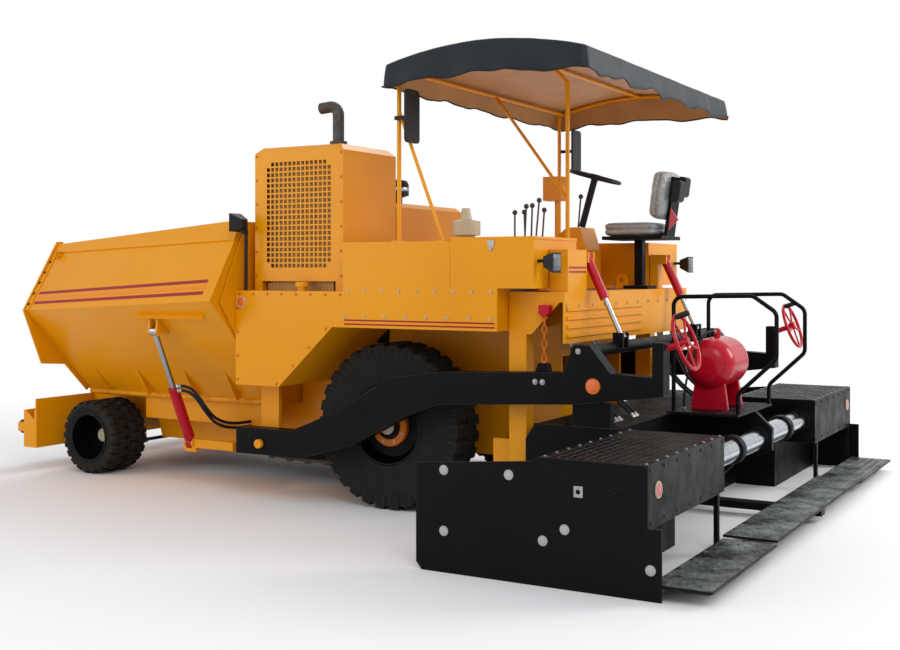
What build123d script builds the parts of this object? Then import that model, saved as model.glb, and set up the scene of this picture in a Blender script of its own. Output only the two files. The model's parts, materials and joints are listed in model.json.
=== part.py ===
"""Asphalt paver on wheels: tractor with a folding hopper in front and a floating screed behind.

Frame: +X forward, +Y to the machine's left, +Z up, millimetres. Shapes are drawn with X = 0 at the
rear axle and are moved by `axle_x` when written, so that the origin lies on the ground at the middle
of the whole machine.
"""
from math import atan2, cos, radians, sin
import os

from build123d import *

# ---- overall reach -------------------------------------------------------------------------------
wheelbase = 2744.0
nose_overhang = 446.0       # front axle to the front end of the side plates
beam_depth = 140.0
roller_r, roller_gap, roller_z = 55.0, 10.0, 330.0
chassis_front = wheelbase + nose_overhang
beam_front = chassis_front + beam_depth
roller_x = beam_front + roller_gap + roller_r
front_reach = roller_x + roller_r       # rear axle to the face of the push rollers
rear_reach = 2551.0         # rear axle to the rear edge of the footboards
axle_x = (rear_reach - front_reach) / 2

# ---- clearances ----------------------------------------------------------------------------------
seat_gap = 0.3              # between curved faces that seat on each other
fit_gap = 0.05              # radial clearance of a pin or shaft in its bore

# ---- wheels --------------------------------------------------------------------------------------
rear_tyre_r, rear_tyre_w, rear_outer_y = 542.5, 293.0, 1044.0
rear_rim_r, rim_wall = 254.0, 12.0
rear_lug = (16.0, 30, 62.0, -12.0)      # depth, count on a side, thickness, inner end
front_tyre_r, front_tyre_w, front_outer_y = 280.0, 170.0, 997.0
front_tyre_gap, front_rim_r = 20.0, 185.0
front_lug = (14.0, 22, 42.0, 6.0)
spindle_r = 60.0
front_spindle_r = 32.0
front_web_in = 190.0                    # outer face of the front wheels to their web

# ---- chassis -------------------------------------------------------------------------------------
plate_y, plate_t = 500.0, 20.0          # middle and thickness of the two side plates
plate_out = plate_y + plate_t / 2
plate_in = plate_y - plate_t / 2
floor_z = 590.0                         # top of the side plates under the hopper
low_z = 250.0
axle_arch_z = 395.0                     # underside of the plates over the front axle
tunnel_roof_z = 990.0
deck_z, deck_t = 1426.0, 60.0
deck_under = deck_z - deck_t
deck_rear, deck_half_w = -1290.0, 1100.0
post_x, post_w, post_foot_z = (-1040.0, -925.0), 100.0, 390.0
rib_count, rib_step = 4, 52.0           # raised ribs on the panel below the platform's rear edge

# ---- hopper --------------------------------------------------------------------------------------
hinge_y, hinge_z, hinge_pin_r = 770.0, 612.0, 14.0
wing_front, wing_rear, wing_t = 2950.0, 1100.0, 10.0
fold_front, fold_rear = (1420.0, 1260.0), (1490.0, 1353.0)      # (y, z) of the fold
top_front, top_rear = (1100.0, 1750.0), (1150.0, 1900.0)        # (y, z) of the upper edge
band_front, band_rear, trim_t, lip_w = 78.0, 165.0, 10.0, 48.0  # raised band and front lip of a wing
wall_x, wall_t = 1080.0, 12.0
wing_cyl_x = 1700.0
ledge_x = (wing_cyl_x - 470, wing_cyl_x + 130)
rib_shares = ((0.16, 60.0), (0.37, 60.0), (0.62, 60.0), (0.86, 28.0))   # place along the wing, and depth at its root
wing_pin_low = (1000.0, 314.0)                                  # (y, z)
wing_pin_top = (1368.0, 1132.0)
wing_barrel_r, wing_rod_r, wing_barrel_len, wing_pin_r = 39.0, 20.0, 450.0, 16.0
wing_play_along, wing_play_across = 3.9, 18.9                   # travel of the upper pin in its slotted eye
chain_x, chain_z, chain_r, chain_t = (-560.0, wheelbase + 116.0), 492.0, 84.0, 22.0    # end shafts and band of a conveyor
chain_y, slat_count, slat_w, slat_h = (30.0, 460.0), 44, 40.0, 12.0

# ---- bodywork ------------------------------------------------------------------------------------
side_y = 1250.0
tank_split_x, hopper_tank_z = 196.0, 1420.0
hood_x, hood_y, hood_z = (270.0, 1000.0), (500.0, 1140.0), (1484.0, 2390.0)
cover_x, cover_y, cover_z = (270.0, 1000.0), (-430.0, 490.0), (1426.0, 2030.0)
sheet_t = 6.0
window_x, window_z, window_cut = (hood_x[0] + 80, hood_x[1] - 80), (hood_z[0] + 71, hood_z[1] - 85), 50.0
grille_pitch, grille_hole = 36.0, 26.0
box_x, box_y, box_z = (-1163.0, -598.0), (640.0, 1250.0), (1448.0, 1756.0)
lid_t = 16.0

# ---- canopy --------------------------------------------------------------------------------------
canopy_x, canopy_half_w = (-1521.0, -168.0), 1314.0
canopy_low, canopy_end_z, canopy_rise = 2691.0, 2840.0, 95.0
canopy_mid_z = canopy_end_z + canopy_rise
canopy_t, canopy_tube_r = 8.0, 14.0

# ---- screed --------------------------------------------------------------------------------------
tow_pin = (895.0, 392.0)                # (x, z)
tow_pin_r = 30.0
arm_y = (1120.0, 1220.0)
screed_x, screed_half_w, screed_top = (-1660.0, -1080.0), 1190.0, 650.0
ext_x, ext_y, ext_z = (-2244.0, -1677.0), (1068.0, 2244.0), (332.0, 637.0)
ext_wall = 8.0
end_plate_t = 20.0
guide_x, guide_z, guide_r, guide_half = -2130.0, 490.0, 72.5, 1140.0
board_x, board_t, board_z = (-2551.0, -2251.0), 12.0, 88.0
board_half_in, board_y_out = 1115.0, (1125.0, 2244.0)
auger_x, auger_z, auger_r, auger_shaft_r = -850.0, 320.0, 165.0, 30.0
auger_y, auger_pitch, flight_t = (100.0, 975.0), 330.0, 14.0
cross_tube = (-1452.0, 1083.0)          # (x, z)
lift_top, lift_low, lift_y = (-1262.0, 1638.0), (-1490.0, 1150.0), 700.0    # pins of the lift cylinders (x, z)
lift_barrel_r, lift_rod_r, lift_barrel_len, lift_stroke = 30.0, 16.0, 285.0, 217.0
lift_play, lift_eye_gap = 1.05, 0.2     # travel of the lower pin across its eye, and its clearance there


# ---- helpers -------------------------------------------------------------------------------------
def block(x, y, z):
    """Box between pairs of limits."""
    size = [abs(b - a) for a, b in (x, y, z)]
    return Pos(*[(a + b) / 2 for a, b in (x, y, z)]) * Box(*size)


def side_plate(points, y0, y1):
    """Outline given as (x, z), filling y0 to y1."""
    face = make_face(Polyline(*[(x, 0, z) for x, z in points], close=True))
    return Pos(0, y0, 0) * extrude(face, amount=y1 - y0, dir=(0, 1, 0))


def cross_plate(points, x0, x1):
    """Outline given as (y, z), filling x0 to x1."""
    face = make_face(Polyline(*[(0, y, z) for y, z in points], close=True))
    return Pos(x0, 0, 0) * extrude(face, amount=x1 - x0, dir=(1, 0, 0))


def rod(start, end, radius):
    """Round bar between two points."""
    a, b = Vector(*start), Vector(*end)
    plane = Plane(origin=(a + b) / 2, z_dir=b - a)
    return plane * Cylinder(radius, (b - a).length)


def ring(start, end, outer, inner):
    """Round tube between two points."""
    return rod(start, end, outer) - rod(start, end, inner)


def bent_tube(points, bend_r, radius, inner=0.0):
    """Tube along straight runs joined by arcs."""
    path = FilletPolyline(*points, radius=bend_r)
    plane = Plane(origin=path @ 0, z_dir=path % 0)
    section = plane * Circle(radius)
    if inner:
        section -= plane * Circle(inner)
    return sweep(section, path=path)


def turned(points, origin):
    """Body turned about an axis along Y; points are (radius, y)."""
    face = make_face(Polyline(*[(r, y, 0) for r, y in points], close=True))
    return Pos(*origin) * revolve(face, Axis.Y)


def lug(outline, thick):
    """Tread block: outline (radius, y) in the plane of the wheel's axis, thick around the tread."""
    face = make_face(Polyline(*[(r, y, 0) for r, y in outline], close=True))
    return extrude(face, amount=thick / 2, both=True)


def perforated(width, height, pitch, hole, corner=0.0):
    """Square holes in a field of width (x) by height (z), left out where the corners are cut."""
    across, up = int(width // pitch), int(height // pitch)
    spots = []
    for i in range(across):
        for k in range(up):
            x, z = (i - (across - 1) / 2) * pitch, (k - (up - 1) / 2) * pitch
            if width / 2 - abs(x) + height / 2 - abs(z) > corner + hole:
                spots.append(Pos(x, 0, z) * Box(hole, 30, hole))
    return spots


def right(shape):
    """Same piece on the right-hand side."""
    return mirror(shape, about=Plane.XZ)


def both(shape):
    return Compound([*shape.solids(), *right(shape).solids()])


# ---- tractor frame -------------------------------------------------------------------------------
def chassis_frame():
    outline = [(chassis_front, axle_arch_z), (chassis_front, floor_z), (1070, floor_z),
               (1070, tunnel_roof_z), (260, tunnel_roof_z), (260, deck_under), (-1000, deck_under),
               (-1000, 560), (-640, 560), (-560, 330), (250, 330), (300, low_z),
               (wheelbase - 304, low_z), (wheelbase - 264, axle_arch_z)]
    frame = side_plate(outline, plate_in, plate_out)
    frame += right(frame)
    inner = (-plate_in, plate_in)
    # cross members: x limits, z limits
    for x, z in (((chassis_front - 20, chassis_front), (axle_arch_z, floor_z)),
                 ((chassis_front - 200, chassis_front - 180), (axle_arch_z, 470)),
                 ((260, 1070), (975, tunnel_roof_z)),
                 ((-900, -800), (580, 680)),
                 ((-1000, -980), (1000, deck_under)),
                 ((chain_x[0] + 130, chain_x[1] - 120), (536, 548))):
        frame += block(x, inner, z)
    for x in chain_x:
        frame += rod((x, -plate_in, chain_z), (x, plate_in, chain_z), chain_r - chain_t - seat_gap)
    return frame


def side_brackets():
    """Tow-pin hangers and wing-cylinder outriggers welded to the outside of the side plates."""
    return both(Compound([*tow_bracket().solids(), *wing_outrigger().solids()]))


def tow_bracket():
    """Hanger that carries the tow pin outside the rear wheel's track."""
    hanger = block((820, 970), (1082, 1110), (330, 785))
    beam = block((820, 970), (plate_out, 1082), (340, 440))
    pin = rod((tow_pin[0], 1082, tow_pin[1]), (tow_pin[0], 1245, tow_pin[1]), tow_pin_r)
    return hanger + beam + pin


def wing_outrigger():
    """Arm below the skirt that carries the lower pin of a wing cylinder."""
    y, z = wing_pin_low
    arm = block((1290, 1350), (plate_out, y + 30), (z - 30, z + 30))
    bar = block((1290, wing_cyl_x - 45), (y - 20, y + 20), (z - 30, z + 30))
    fork = bar + arm
    for side in (-1, 1):
        x = wing_cyl_x + side * 35
        fork += rod((x - 8, y, z), (x + 8, y, z), 34)
    fork += block((wing_cyl_x - 60, wing_cyl_x + 43), (y - 20, y + 20), (z - 60, z - 36))
    fork += block((wing_cyl_x - 60, wing_cyl_x - 27), (y - 20, y + 20), (z - 60, z + 30))
    fork += block((wing_cyl_x + 27, wing_cyl_x + 43), (y - 20, y + 20), (z - 60, z))
    return fork + rod((wing_cyl_x - 43, y, z), (wing_cyl_x + 43, y, z), wing_pin_r)


def axles():
    """Front beam with its kingpin eyes, and the two rear final drives."""
    x, z = wheelbase, (300, 380)
    beam = block((x - 40, x + 40), (-540, 540), z)
    for y in (-kingpin_y, kingpin_y):
        beam += rod((x, y, z[0]), (x, y, z[1]), 44)
    for y in (-plate_y, plate_y):
        beam += block((x - 40, x + 40), (y - 15, y + 15), (z[1], axle_arch_z))
    for y in (-kingpin_y, kingpin_y):
        beam -= rod((x, y, z[0]), (x, y, z[1]), kingpin_r + fit_gap)
    end = rear_outer_y - 109
    drive = turned([(0, plate_out), (200, plate_out), (200, plate_out + 30), (172, plate_out + 48), (172, 640),
                    (136, 668), (136, 745), (spindle_r, 745), (spindle_r, end), (0, end)], (0, 0, rear_tyre_r))
    return Compound([*beam.solids(), *drive.solids(), *right(drive).solids()])


kingpin_y, kingpin_r = 560.0, 20.0
track_arm_x, track_arm_y, track_z = -150.0, -20.0, 250.0        # ball of the steering arm


def knuckle():
    """Left fork around the axle's eye, with its spindle and its steering arm."""
    x, y, z = wheelbase, kingpin_y, front_tyre_r
    fork = block((x - 38, x + 38), (y + 52, y + 68), (z - 45, 414))
    fork += block((x - 38, x + 38), (y - 30, y + 60), (384, 414))
    fork += block((x - 38, x + 38), (y - 30, y + 60), (z - 45, z + 16))
    fork += rod((x, y, z - 45), (x, y, 414), kingpin_r)
    fork += rod((x, y + 60, z), (x, front_outer_y - front_web_in - 5, z), front_spindle_r)
    arm = block((x + track_arm_x, x - 30), (y + track_arm_y - 15, y + track_arm_y + 15), (z - 45, z - 20))
    ball = rod((x + track_arm_x, y + track_arm_y, track_z - 15), (x + track_arm_x, y + track_arm_y, track_z + 22), 12)
    return fork + arm + ball


def tie_rod():
    x, y, z = wheelbase + track_arm_x, kingpin_y + track_arm_y, track_z - 31 - seat_gap
    bar = rod((x, -y, z), (x, y, z), 13)
    for side in (-y, y):
        bar += rod((x, side, z - 16), (x, side, z + 16), 24)
    return bar


# ---- wheels --------------------------------------------------------------------------------------
def tyre(radius, width, bead_r, tread, origin):
    """Tyre with cross lugs that reach over its shoulders, half a pitch apart on its two sides."""
    depth, count, thick, inner_end = tread
    half, wall_r = width / 2, radius - depth
    shoulder = wall_r - 0.28 * (radius - bead_r)
    body = turned([(bead_r, -half + 14), (bead_r + 30, -half + 2), (shoulder, -half), (wall_r - 10, -half + 14),
                   (wall_r, -half + 34), (wall_r, half - 34), (wall_r - 10, half - 14), (shoulder, half),
                   (bead_r + 30, half - 2), (bead_r, half - 14)], (0, 0, 0))
    top = (radius ** 2 - (thick / 2) ** 2) ** 0.5
    outline = [(wall_r - 14, inner_end), (top, inner_end), (top, half - 22), (top - 16, half - 4),
               (shoulder + 6, half - 0.5), (shoulder + 6, half - 24), (wall_r - 14, half - 50)]
    block_left = lug(outline, thick)
    block_right = lug([(r, -y) for r, y in outline], thick)
    step = 360 / count
    lugs = [Rot(0, step * i, 0) * block_left for i in range(count)]
    lugs += [Rot(0, step * (i + 0.5), 0) * block_right for i in range(count)]
    return Pos(*origin) * (body + lugs)


def rear_tyre():
    return tyre(rear_tyre_r, rear_tyre_w, rear_rim_r + seat_gap, rear_lug, (0, rear_outer_y - rear_tyre_w / 2, rear_tyre_r))


def rear_hub():
    """Rim with its lip, dished disc and wheel hub that turn on the final drive's spindle."""
    y, bore, wall = rear_outer_y, spindle_r + fit_gap, rear_rim_r - rim_wall
    centre = (0, 0, rear_tyre_r)
    rim = turned([(wall, y - rear_tyre_w + 12), (rear_rim_r, y - rear_tyre_w + 12), (rear_rim_r, y - 13),
                  (rear_rim_r + 8, y - 7), (rear_rim_r + 12, y - 3), (wall, y - 3)], centre)
    disc = turned([(120, y - 84), (195, y - 84), (wall + 1, y - 124), (wall + 1, y - 110), (200, y - 70),
                   (120, y - 70)], centre)
    hub = turned([(bore, y - 200), (150, y - 200), (150, y - 80), (132, y - 80), (132, y - 40), (126, y - 34),
                  (86, y - 34), (78, y - 18), (50, y - 18), (50, y - 6), (46, y - 2), (0, y - 2), (0, y - 100),
                  (bore, y - 100)], centre)
    return rim + disc + hub


def front_tyres():
    z, y = front_tyre_r, front_outer_y - front_tyre_w / 2
    pair = []
    for shift in (0, -(front_tyre_w + front_tyre_gap)):
        pair += tyre(front_tyre_r, front_tyre_w, front_rim_r + seat_gap, front_lug, (wheelbase, y + shift, z)).solids()
    return Compound(pair)


def front_hub():
    """Deep rim for both tyres with its web and hub far inside."""
    y, bore, wall = front_outer_y, front_spindle_r + fit_gap, front_rim_r - 13
    inner, web = y - 2 * front_tyre_w - front_tyre_gap + 8, y - front_web_in
    centre = (wheelbase, 0, front_tyre_r)
    rim = turned([(wall, inner), (front_rim_r, inner), (front_rim_r, y - 8), (front_rim_r - 5, y - 4), (wall, y - 4)], centre)
    plate = turned([(60, web - 14), (wall + 1, web - 14), (wall + 1, web), (60, web)], centre)
    hub = turned([(bore, inner), (64, inner), (80, web - 20), (80, web + 16), (50, web + 20), (50, web + 36),
                  (45, web + 40), (0, web + 40), (0, web), (bore, web)], centre)
    return rim + plate + hub


# ---- hopper --------------------------------------------------------------------------------------
def hinge_lugs(first, count, step, length):
    return [(first + i * step, first + i * step + length) for i in range(count)]


lug_step = (wing_front - wing_rear - 20) / 9
lug_len = lug_step - 4


def hopper_base():
    """Fixed floor strips, skirts and rear wall that the two wings close against."""
    strip = block((wall_x, wing_front), (470, hinge_y - 30), (floor_z, floor_z + 12))
    skirt = block((1120, wheelbase - 354), (hinge_y - 42, hinge_y - 30), (430, floor_z + 12))
    half = strip + skirt
    half += rod((wing_rear + 8, hinge_y, hinge_z), (wing_front - 8, hinge_y, hinge_z), hinge_pin_r)
    for x in hinge_lugs(wing_rear + 10, 5, 2 * lug_step, lug_len):
        half += block(x, (hinge_y - 32, hinge_y), (floor_z, floor_z + 12))
        half += rod((x[0], hinge_y, hinge_z), (x[1], hinge_y, hinge_z), 22)
    outline = [(0, 870), (470, 870), (470, floor_z + 12), (hinge_y - 40, floor_z + 12), (hinge_y - 10, 650),
               (1230, 1105), (1400, 1340), (1130, 1890), (0, 1890)]
    half += cross_plate(outline, wall_x, wall_x + wall_t)
    return half + right(half)


def wing_section(x, fold, top):
    """Closed outline of the folded plate at one station."""
    along = Vector(0, fold[0] - hinge_y, fold[1] - hinge_z).normalized()
    up = Vector(0, top[0] - fold[0], top[1] - fold[1]).normalized()
    inward, in_up = Vector(0, -along.Z, along.Y), Vector(0, -up.Z, up.Y)
    root = Vector(x, hinge_y, hinge_z) + along * 26
    knee, tip = Vector(x, *fold), Vector(x, *top)
    # inner knee lies where the two inner faces meet
    turn = 1 + inward.dot(in_up)
    inner_knee = knee + (inward + in_up) * (wing_t / turn)
    pts = [root, knee, tip, tip + in_up * wing_t, inner_knee, root + inward * wing_t]
    return make_face(Polyline(*pts, close=True))


def wing():
    """Left wing: folded plate, front closing plate, top flange, ribs, hinge knuckles and cylinder ears."""
    body = loft([wing_section(wing_rear, fold_rear, top_rear), wing_section(wing_front, fold_front, top_front)],
                ruled=True)

    def spot(along, below, x=wing_front):
        share = (wing_front - x) / (wing_front - wing_rear)
        y, z = [a + (b - a) * share for a, b in zip(fold_front, fold_rear)]
        slope = atan2(z - hinge_z, y - hinge_y)
        return (hinge_y + along * cos(slope) + below * sin(slope), hinge_z + along * sin(slope) - below * cos(slope))

    front = [spot(40, 30), spot(350, 32), spot(525, 180), (1440, 1262), (1118, 1776), (1060, 1776), (1090, 1500),
             (1130, 1250), (900, 940), (hinge_y + 8, hinge_z + 40)]
    body += cross_plate(front, wing_front - 12, wing_front)
    rear = [spot(60, -8, wing_rear), (1482, 1350), (1142, 1892), (1085, 1892), (1150, 1650), (1340, 1330), (880, 830)]
    body += cross_plate(rear, wing_rear, wing_rear + 10)
    for x in hinge_lugs(wing_rear + 10 + lug_step, 4, 2 * lug_step, lug_len):
        knuckle_ring = ring((x[0], hinge_y, hinge_z), (x[1], hinge_y, hinge_z), 22, hinge_pin_r + fit_gap)
        strap = cross_plate([spot(19, 1, x[0]), spot(44, 1, x[0]), spot(44, -9, x[0]), spot(19, -9, x[0])], *x)
        body += knuckle_ring + strap
    for share, deep in rib_shares:
        x = wing_rear + share * (wing_front - wing_rear)
        body += cross_plate([spot(45, -2, x), spot(330, -2, x), spot(60, deep, x)], x, x + 10)
    body += wing_trim(spot)
    y, z = wing_pin_top
    for side in (-1, 1):
        x = wing_cyl_x + side * 35
        ear = cross_plate([spot(700, -6, x), spot(880, -6, x), (y + 30, z - 12), (y, z - 32), (y - 30, z - 12)], x - 8, x + 8)
        body += ear
    body += rod((wing_cyl_x - 43, y, z), (wing_cyl_x + 43, y, z), wing_pin_r)
    return body


def upper_plate(x):
    """Fold and upper edge of the wing at a station, with the directions up its plate and out of it."""
    share = (wing_front - x) / (wing_front - wing_rear)
    fold, top = [Vector(x, *[a + (b - a) * share for a, b in zip(front, rear)])
                 for front, rear in ((fold_front, fold_rear), (top_front, top_rear))]
    up = (top - fold).normalized()
    return fold, top, up, Vector(0, up.Z, -up.Y)


def wing_trim(spot):
    """Raised band along the upper edge, lip along the front edge, ledge over the ears and a lifting eye."""
    sections = []
    for x, deep in ((wing_rear, band_rear), (wing_front, band_front)):
        fold, top, up, out = upper_plate(x)
        low = top - up * deep
        sections.append(make_face(Polyline(top - out * 3, top + out * trim_t, low + out * trim_t, low - out * 3, close=True)))
    trim = loft(sections, ruled=True)
    fold, top, up, out = upper_plate(wing_front)
    lip = make_face(Polyline(*[Vector(wing_front - lip_w, p.Y, p.Z) for p in
                               (fold - out * 3, fold + out * trim_t, top + out * trim_t, top - out * 3)], close=True))
    trim += extrude(lip, amount=lip_w, dir=(1, 0, 0))
    reach = ledge_x[0], ledge_x[1]
    middle = sum(reach) / 2
    trim += cross_plate([spot(a, b, middle) for a, b in ((888, -8), (900, -8), (900, 34), (888, 34))], *reach)
    fold, top, up, out = upper_plate(wing_front - 90)
    eye = top - up * 110 + out * 30
    half = Vector(7, 0, 0)
    web = make_face(Polyline(eye + up * 26, eye - up * 26, eye - up * 34 - out * 33, eye + up * 34 - out * 33, close=True))
    lug_eye = rod(eye - half, eye + half, 26) + Pos(-7, 0, 0) * extrude(web, amount=14, dir=(1, 0, 0))
    return trim + (lug_eye - rod(eye - half * 2, eye + half * 2, 13))


def wing_barrel():
    (y, z), (ty, tz) = wing_pin_low, wing_pin_top
    d = Vector(0, ty - y, tz - z).normalized()
    base = Vector(wing_cyl_x, y, z)
    barrel = rod(base + d * 46, base + d * wing_barrel_len, wing_barrel_r) + rod(base, base + d * 50, 22)
    eye = rod(base - Vector(24, 0, 0), base + Vector(24, 0, 0), 32)
    bore = rod(base - Vector(60, 0, 0), base + Vector(60, 0, 0), wing_pin_r + fit_gap)
    inside = rod(base + d * 60, base + d * (wing_barrel_len + 5), wing_rod_r + fit_gap)
    return barrel + eye - bore - inside


def wing_rod():
    """Rod whose slotted eye lets the pin travel across it as the wing folds."""
    (y, z), (ty, tz) = wing_pin_low, wing_pin_top
    base, tip = Vector(wing_cyl_x, y, z), Vector(wing_cyl_x, ty, tz)
    d = (tip - base).normalized()
    across = Vector(0, -d.Z, d.Y)
    slot_r = wing_pin_r + fit_gap + wing_play_along
    near, far = tip + across * wing_play_along, tip + across * wing_play_across
    bar = rod(base + d * (wing_barrel_len - 120), tip - d * (slot_r - 2), wing_rod_r)
    return bar + slot_shape(near, far, slot_r + 11, 25) - slot_shape(near, far, slot_r, 60)


def slot_shape(start, end, radius, half_len):
    """Bar of slotted section along X."""
    side = Vector(half_len, 0, 0)
    shape = rod(start - side, start + side, radius) + rod(end - side, end + side, radius)
    middle, run = (start + end) / 2, end - start
    plane = Plane(origin=middle, x_dir=(1, 0, 0), z_dir=run)
    return shape + plane * Box(2 * half_len, 2 * radius, run.length)


def conveyors():
    """Two closed slat chains; the return runs sag under the hopper."""
    (rear_x, front_x), mid_z, r, t = chain_x, chain_z, chain_r, chain_t

    def outline(grow):
        rr = r + grow
        top, low = mid_z + rr, mid_z - rr
        run = Polyline((front_x, 0, top), (rear_x, 0, top))
        tail = ThreePointArc((rear_x, 0, top), (rear_x - rr, 0, mid_z), (rear_x, 0, low))
        sag = ThreePointArc((rear_x, 0, low), ((front_x + rear_x) / 2 - 80, 0, 150 - grow), (wheelbase - 184, 0, low))
        flat = Polyline((wheelbase - 184, 0, low), (front_x, 0, low))
        nose = ThreePointArc((front_x, 0, low), (front_x + rr, 0, mid_z), (front_x, 0, top))
        return make_face([run, tail, sag, flat, nose])

    wide = chain_y[1] - chain_y[0]
    band = Pos(0, chain_y[0], 0) * (extrude(outline(0), amount=wide, dir=(0, 1, 0))
                                    - extrude(outline(-t), amount=wide, dir=(0, 1, 0)))
    loop = outline(0).face().outer_wire()
    slats = []
    for i in range(slat_count):
        spot, along = loop @ (i / slat_count), loop % (i / slat_count)
        plane = Plane(origin=(spot.X, sum(chain_y) / 2, spot.Z), x_dir=along, z_dir=(0, 1, 0))
        slats.append(plane * Box(slat_w, 2 * slat_h, wide))
    return both(band + slats)


# ---- bodywork ------------------------------------------------------------------------------------
def engine_block():
    """Engine set across the frame: sump, crankcase, head, flywheel housing with pump, and fan pulley."""
    x, (low, high) = sum(cover_x) / 2, (tunnel_roof_z + 50, 1430)
    engine = block((x - 150, x + 150), (-280, 320), (low, high)) + block((x - 110, x + 110), (-240, 290), (high, 1640))
    engine += fillet(block((x - 80, x + 80), (-220, 270), (1640, 1710)).edges().filter_by(Axis.Y), 24)
    engine += rod((x, -350, 1260), (x, -280, 1260), 205) + rod((x, -400, 1260), (x, -350, 1260), 80)
    engine += rod((x, 320, 1260), (x, 372, 1260), 88) + rod((x, 320, 1480), (x, 350, 1480), 70)
    for y in (-220, 220):
        engine += block((x - 230, x + 230), (y - 30, y + 30), (low + 40, low + 70))
        for side in (-200, 200):
            engine += block((x + side - 30, x + side + 30), (y - 30, y + 30), (tunnel_roof_z, low + 60))
    return engine


def front_tanks():
    top = hopper_tank_z
    outline = [(1078, 785), (1078, top), (tank_split_x, top), (tank_split_x, 1190), (280, 1190), (712, 785)]
    tank = side_plate(outline, plate_out, side_y)
    x, y = 560, side_y - 52
    return both(tank + rod((x, y, top - 5), (x, y, top + 42), 28) + rod((x, y, top + 30), (x, y, top + 60), 44))


def rear_tanks():
    outline = [(tank_split_x, 1190), (tank_split_x, 1735), (box_x[1] + 2, 1735), (box_x[1] + 2, box_z[0]),
               (-920, box_z[0]), (-920, 1190)]
    return both(side_plate(outline, plate_out, side_y))


def hood_shell(x, y, z, edge, open_top=False):
    shell = block(x, y, z)
    shell = chamfer(shell.faces().sort_by(Axis.Z)[-1].edges(), edge)
    inner = block((x[0] + sheet_t, x[1] - sheet_t), (y[0] + sheet_t, y[1] - sheet_t), (z[0] - 1, z[1] - sheet_t))
    inner = chamfer(inner.faces().sort_by(Axis.Z)[-1].edges(), edge - sheet_t / 2)
    return shell - inner


def radiator_hood():
    hood = hood_shell(hood_x, hood_y, hood_z, 42)
    for x in (hood_x[0], hood_x[1] - 60):
        for y in (hood_y[0], hood_y[1] - 60):
            hood += block((x, x + 60), (y, y + 60), (1420, hood_z[0] + 60))
    (x0, x1), (z0, z1), cut = window_x, window_z, window_cut
    window = [(x0, z0 + cut), (x0 + cut, z0), (x1 - cut, z0), (x1, z0 + cut), (x1, z1 - cut), (x1 - cut, z1),
              (x0 + cut, z1), (x0, z1 - cut)]
    hood -= side_plate(window, hood_y[1] - 20, hood_y[1] + 1)
    grille = side_plate(window, hood_y[1] - 5, hood_y[1] - 1)
    holes = perforated(x1 - x0, z1 - z0, grille_pitch, grille_hole, cut)
    return hood + (grille - [Pos((x0 + x1) / 2, hood_y[1], (z0 + z1) / 2) * hole for hole in holes])


def radiator_core():
    """Finned core between its two end tanks."""
    (x0, x1), top = (window_x[0] + 26, window_x[1] - 26), window_z[1] + 25
    core = block((x0, x1), (1030, 1100), (hood_z[0] - 20, top - 40))
    core += block((x0 - 14, x1 + 14), (1016, 1114), (hood_z[0] - 64, hood_z[0] - 14))
    return core + block((x0 - 14, x1 + 14), (1016, 1114), (top - 46, top))


def engine_cover():
    cover = hood_shell(cover_x, cover_y, (deck_z + 20, cover_z[1]), 30)
    for x in (cover_x[0], cover_x[1] - 60):
        for y in (cover_y[0] + 4, cover_y[1] - 64):
            cover += block((x, x + 60), (y, y + 60), (tunnel_roof_z, deck_z + 60))
    holes = []
    for x in [cover_x[0] + 115 + 160 * i for i in range(3)]:
        for y in cover_y:
            holes += [Pos(x, y, 1790) * hole for hole in perforated(120, 300, 40, 28)]
    return cover - holes


def exhaust_pipe():
    x, y, z = 380, 1036, hood_z[1]
    pipe = bent_tube([(x, y, z), (x, y, 2650), (x + 140, y, 2640)], 60, 38, 33)
    return pipe + ring((x, y, z), (x, y, z + 22), 58, 37)


def filters():
    """Pre-cleaner on the engine cover and hydraulic filter bowl on the left tank."""
    x, y, z = 400, 300, cover_z[1]
    cleaner = Pos(x, y, z) * revolve(make_face(Polyline((0, 0, 0), (48, 0, 0), (48, 0, 50), (95, 0, 66), (95, 0, 140),
                                                        (80, 0, 166), (30, 0, 176), (0, 0, 176), close=True)), Axis.Z)
    bowl = Pos(-430, 750, 1735) * revolve(make_face(Polyline((0, 0, 0), (60, 0, 0), (60, 0, 45), (95, 0, 50),
                                                             (95, 0, 140), (40, 0, 152), (26, 0, 225), (0, 0, 225),
                                                             close=True)), Axis.Z)
    return Compound([*cleaner.solids(), *bowl.solids()])


def tool_box():
    """Open box on the left tank, and the closed battery box on the right one."""
    body = block(box_x, box_y, (box_z[0], box_z[1] - lid_t))
    body -= block((box_x[0] + sheet_t, box_x[1] - sheet_t), (box_y[0] + sheet_t, box_y[1] - sheet_t),
                  (box_z[0] + sheet_t, box_z[1]))
    pin_z, x = box_z[1] - lid_t / 2, box_x[1]
    for y in (box_y[0] + 60, box_y[1] - 120):
        body += rod((x + 14, y, pin_z), (x + 14, y + 28, pin_z), 7)
        body += block((x - 2.5, x + 14), (y, y + 28), (pin_z - 12, pin_z - 3))
        body += rod((x + 14, y, pin_z), (x + 14, y + 60, pin_z), 4)
    other = right(block(box_x, box_y, box_z))
    return Compound([*body.solids(), *other.solids()])


def tool_box_lid():
    lid = block((box_x[0] - 6, box_x[1] - 5), (box_y[0], box_y[1]), (box_z[1] - lid_t + seat_gap, box_z[1]))
    pin_z, x = box_z[1] - lid_t / 2, box_x[1]
    for y in (box_y[0] + 60, box_y[1] - 120):
        leaf = block((x - 10, x + 14), (y + 30, y + 58), (pin_z + 4, pin_z + 7))
        lid += leaf + rod((x + 14, y + 30, pin_z), (x + 14, y + 58, pin_z), 7)
        lid -= rod((x + 14, y + 29, pin_z), (x + 14, y + 61, pin_z), 4 + fit_gap)
    return lid


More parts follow.
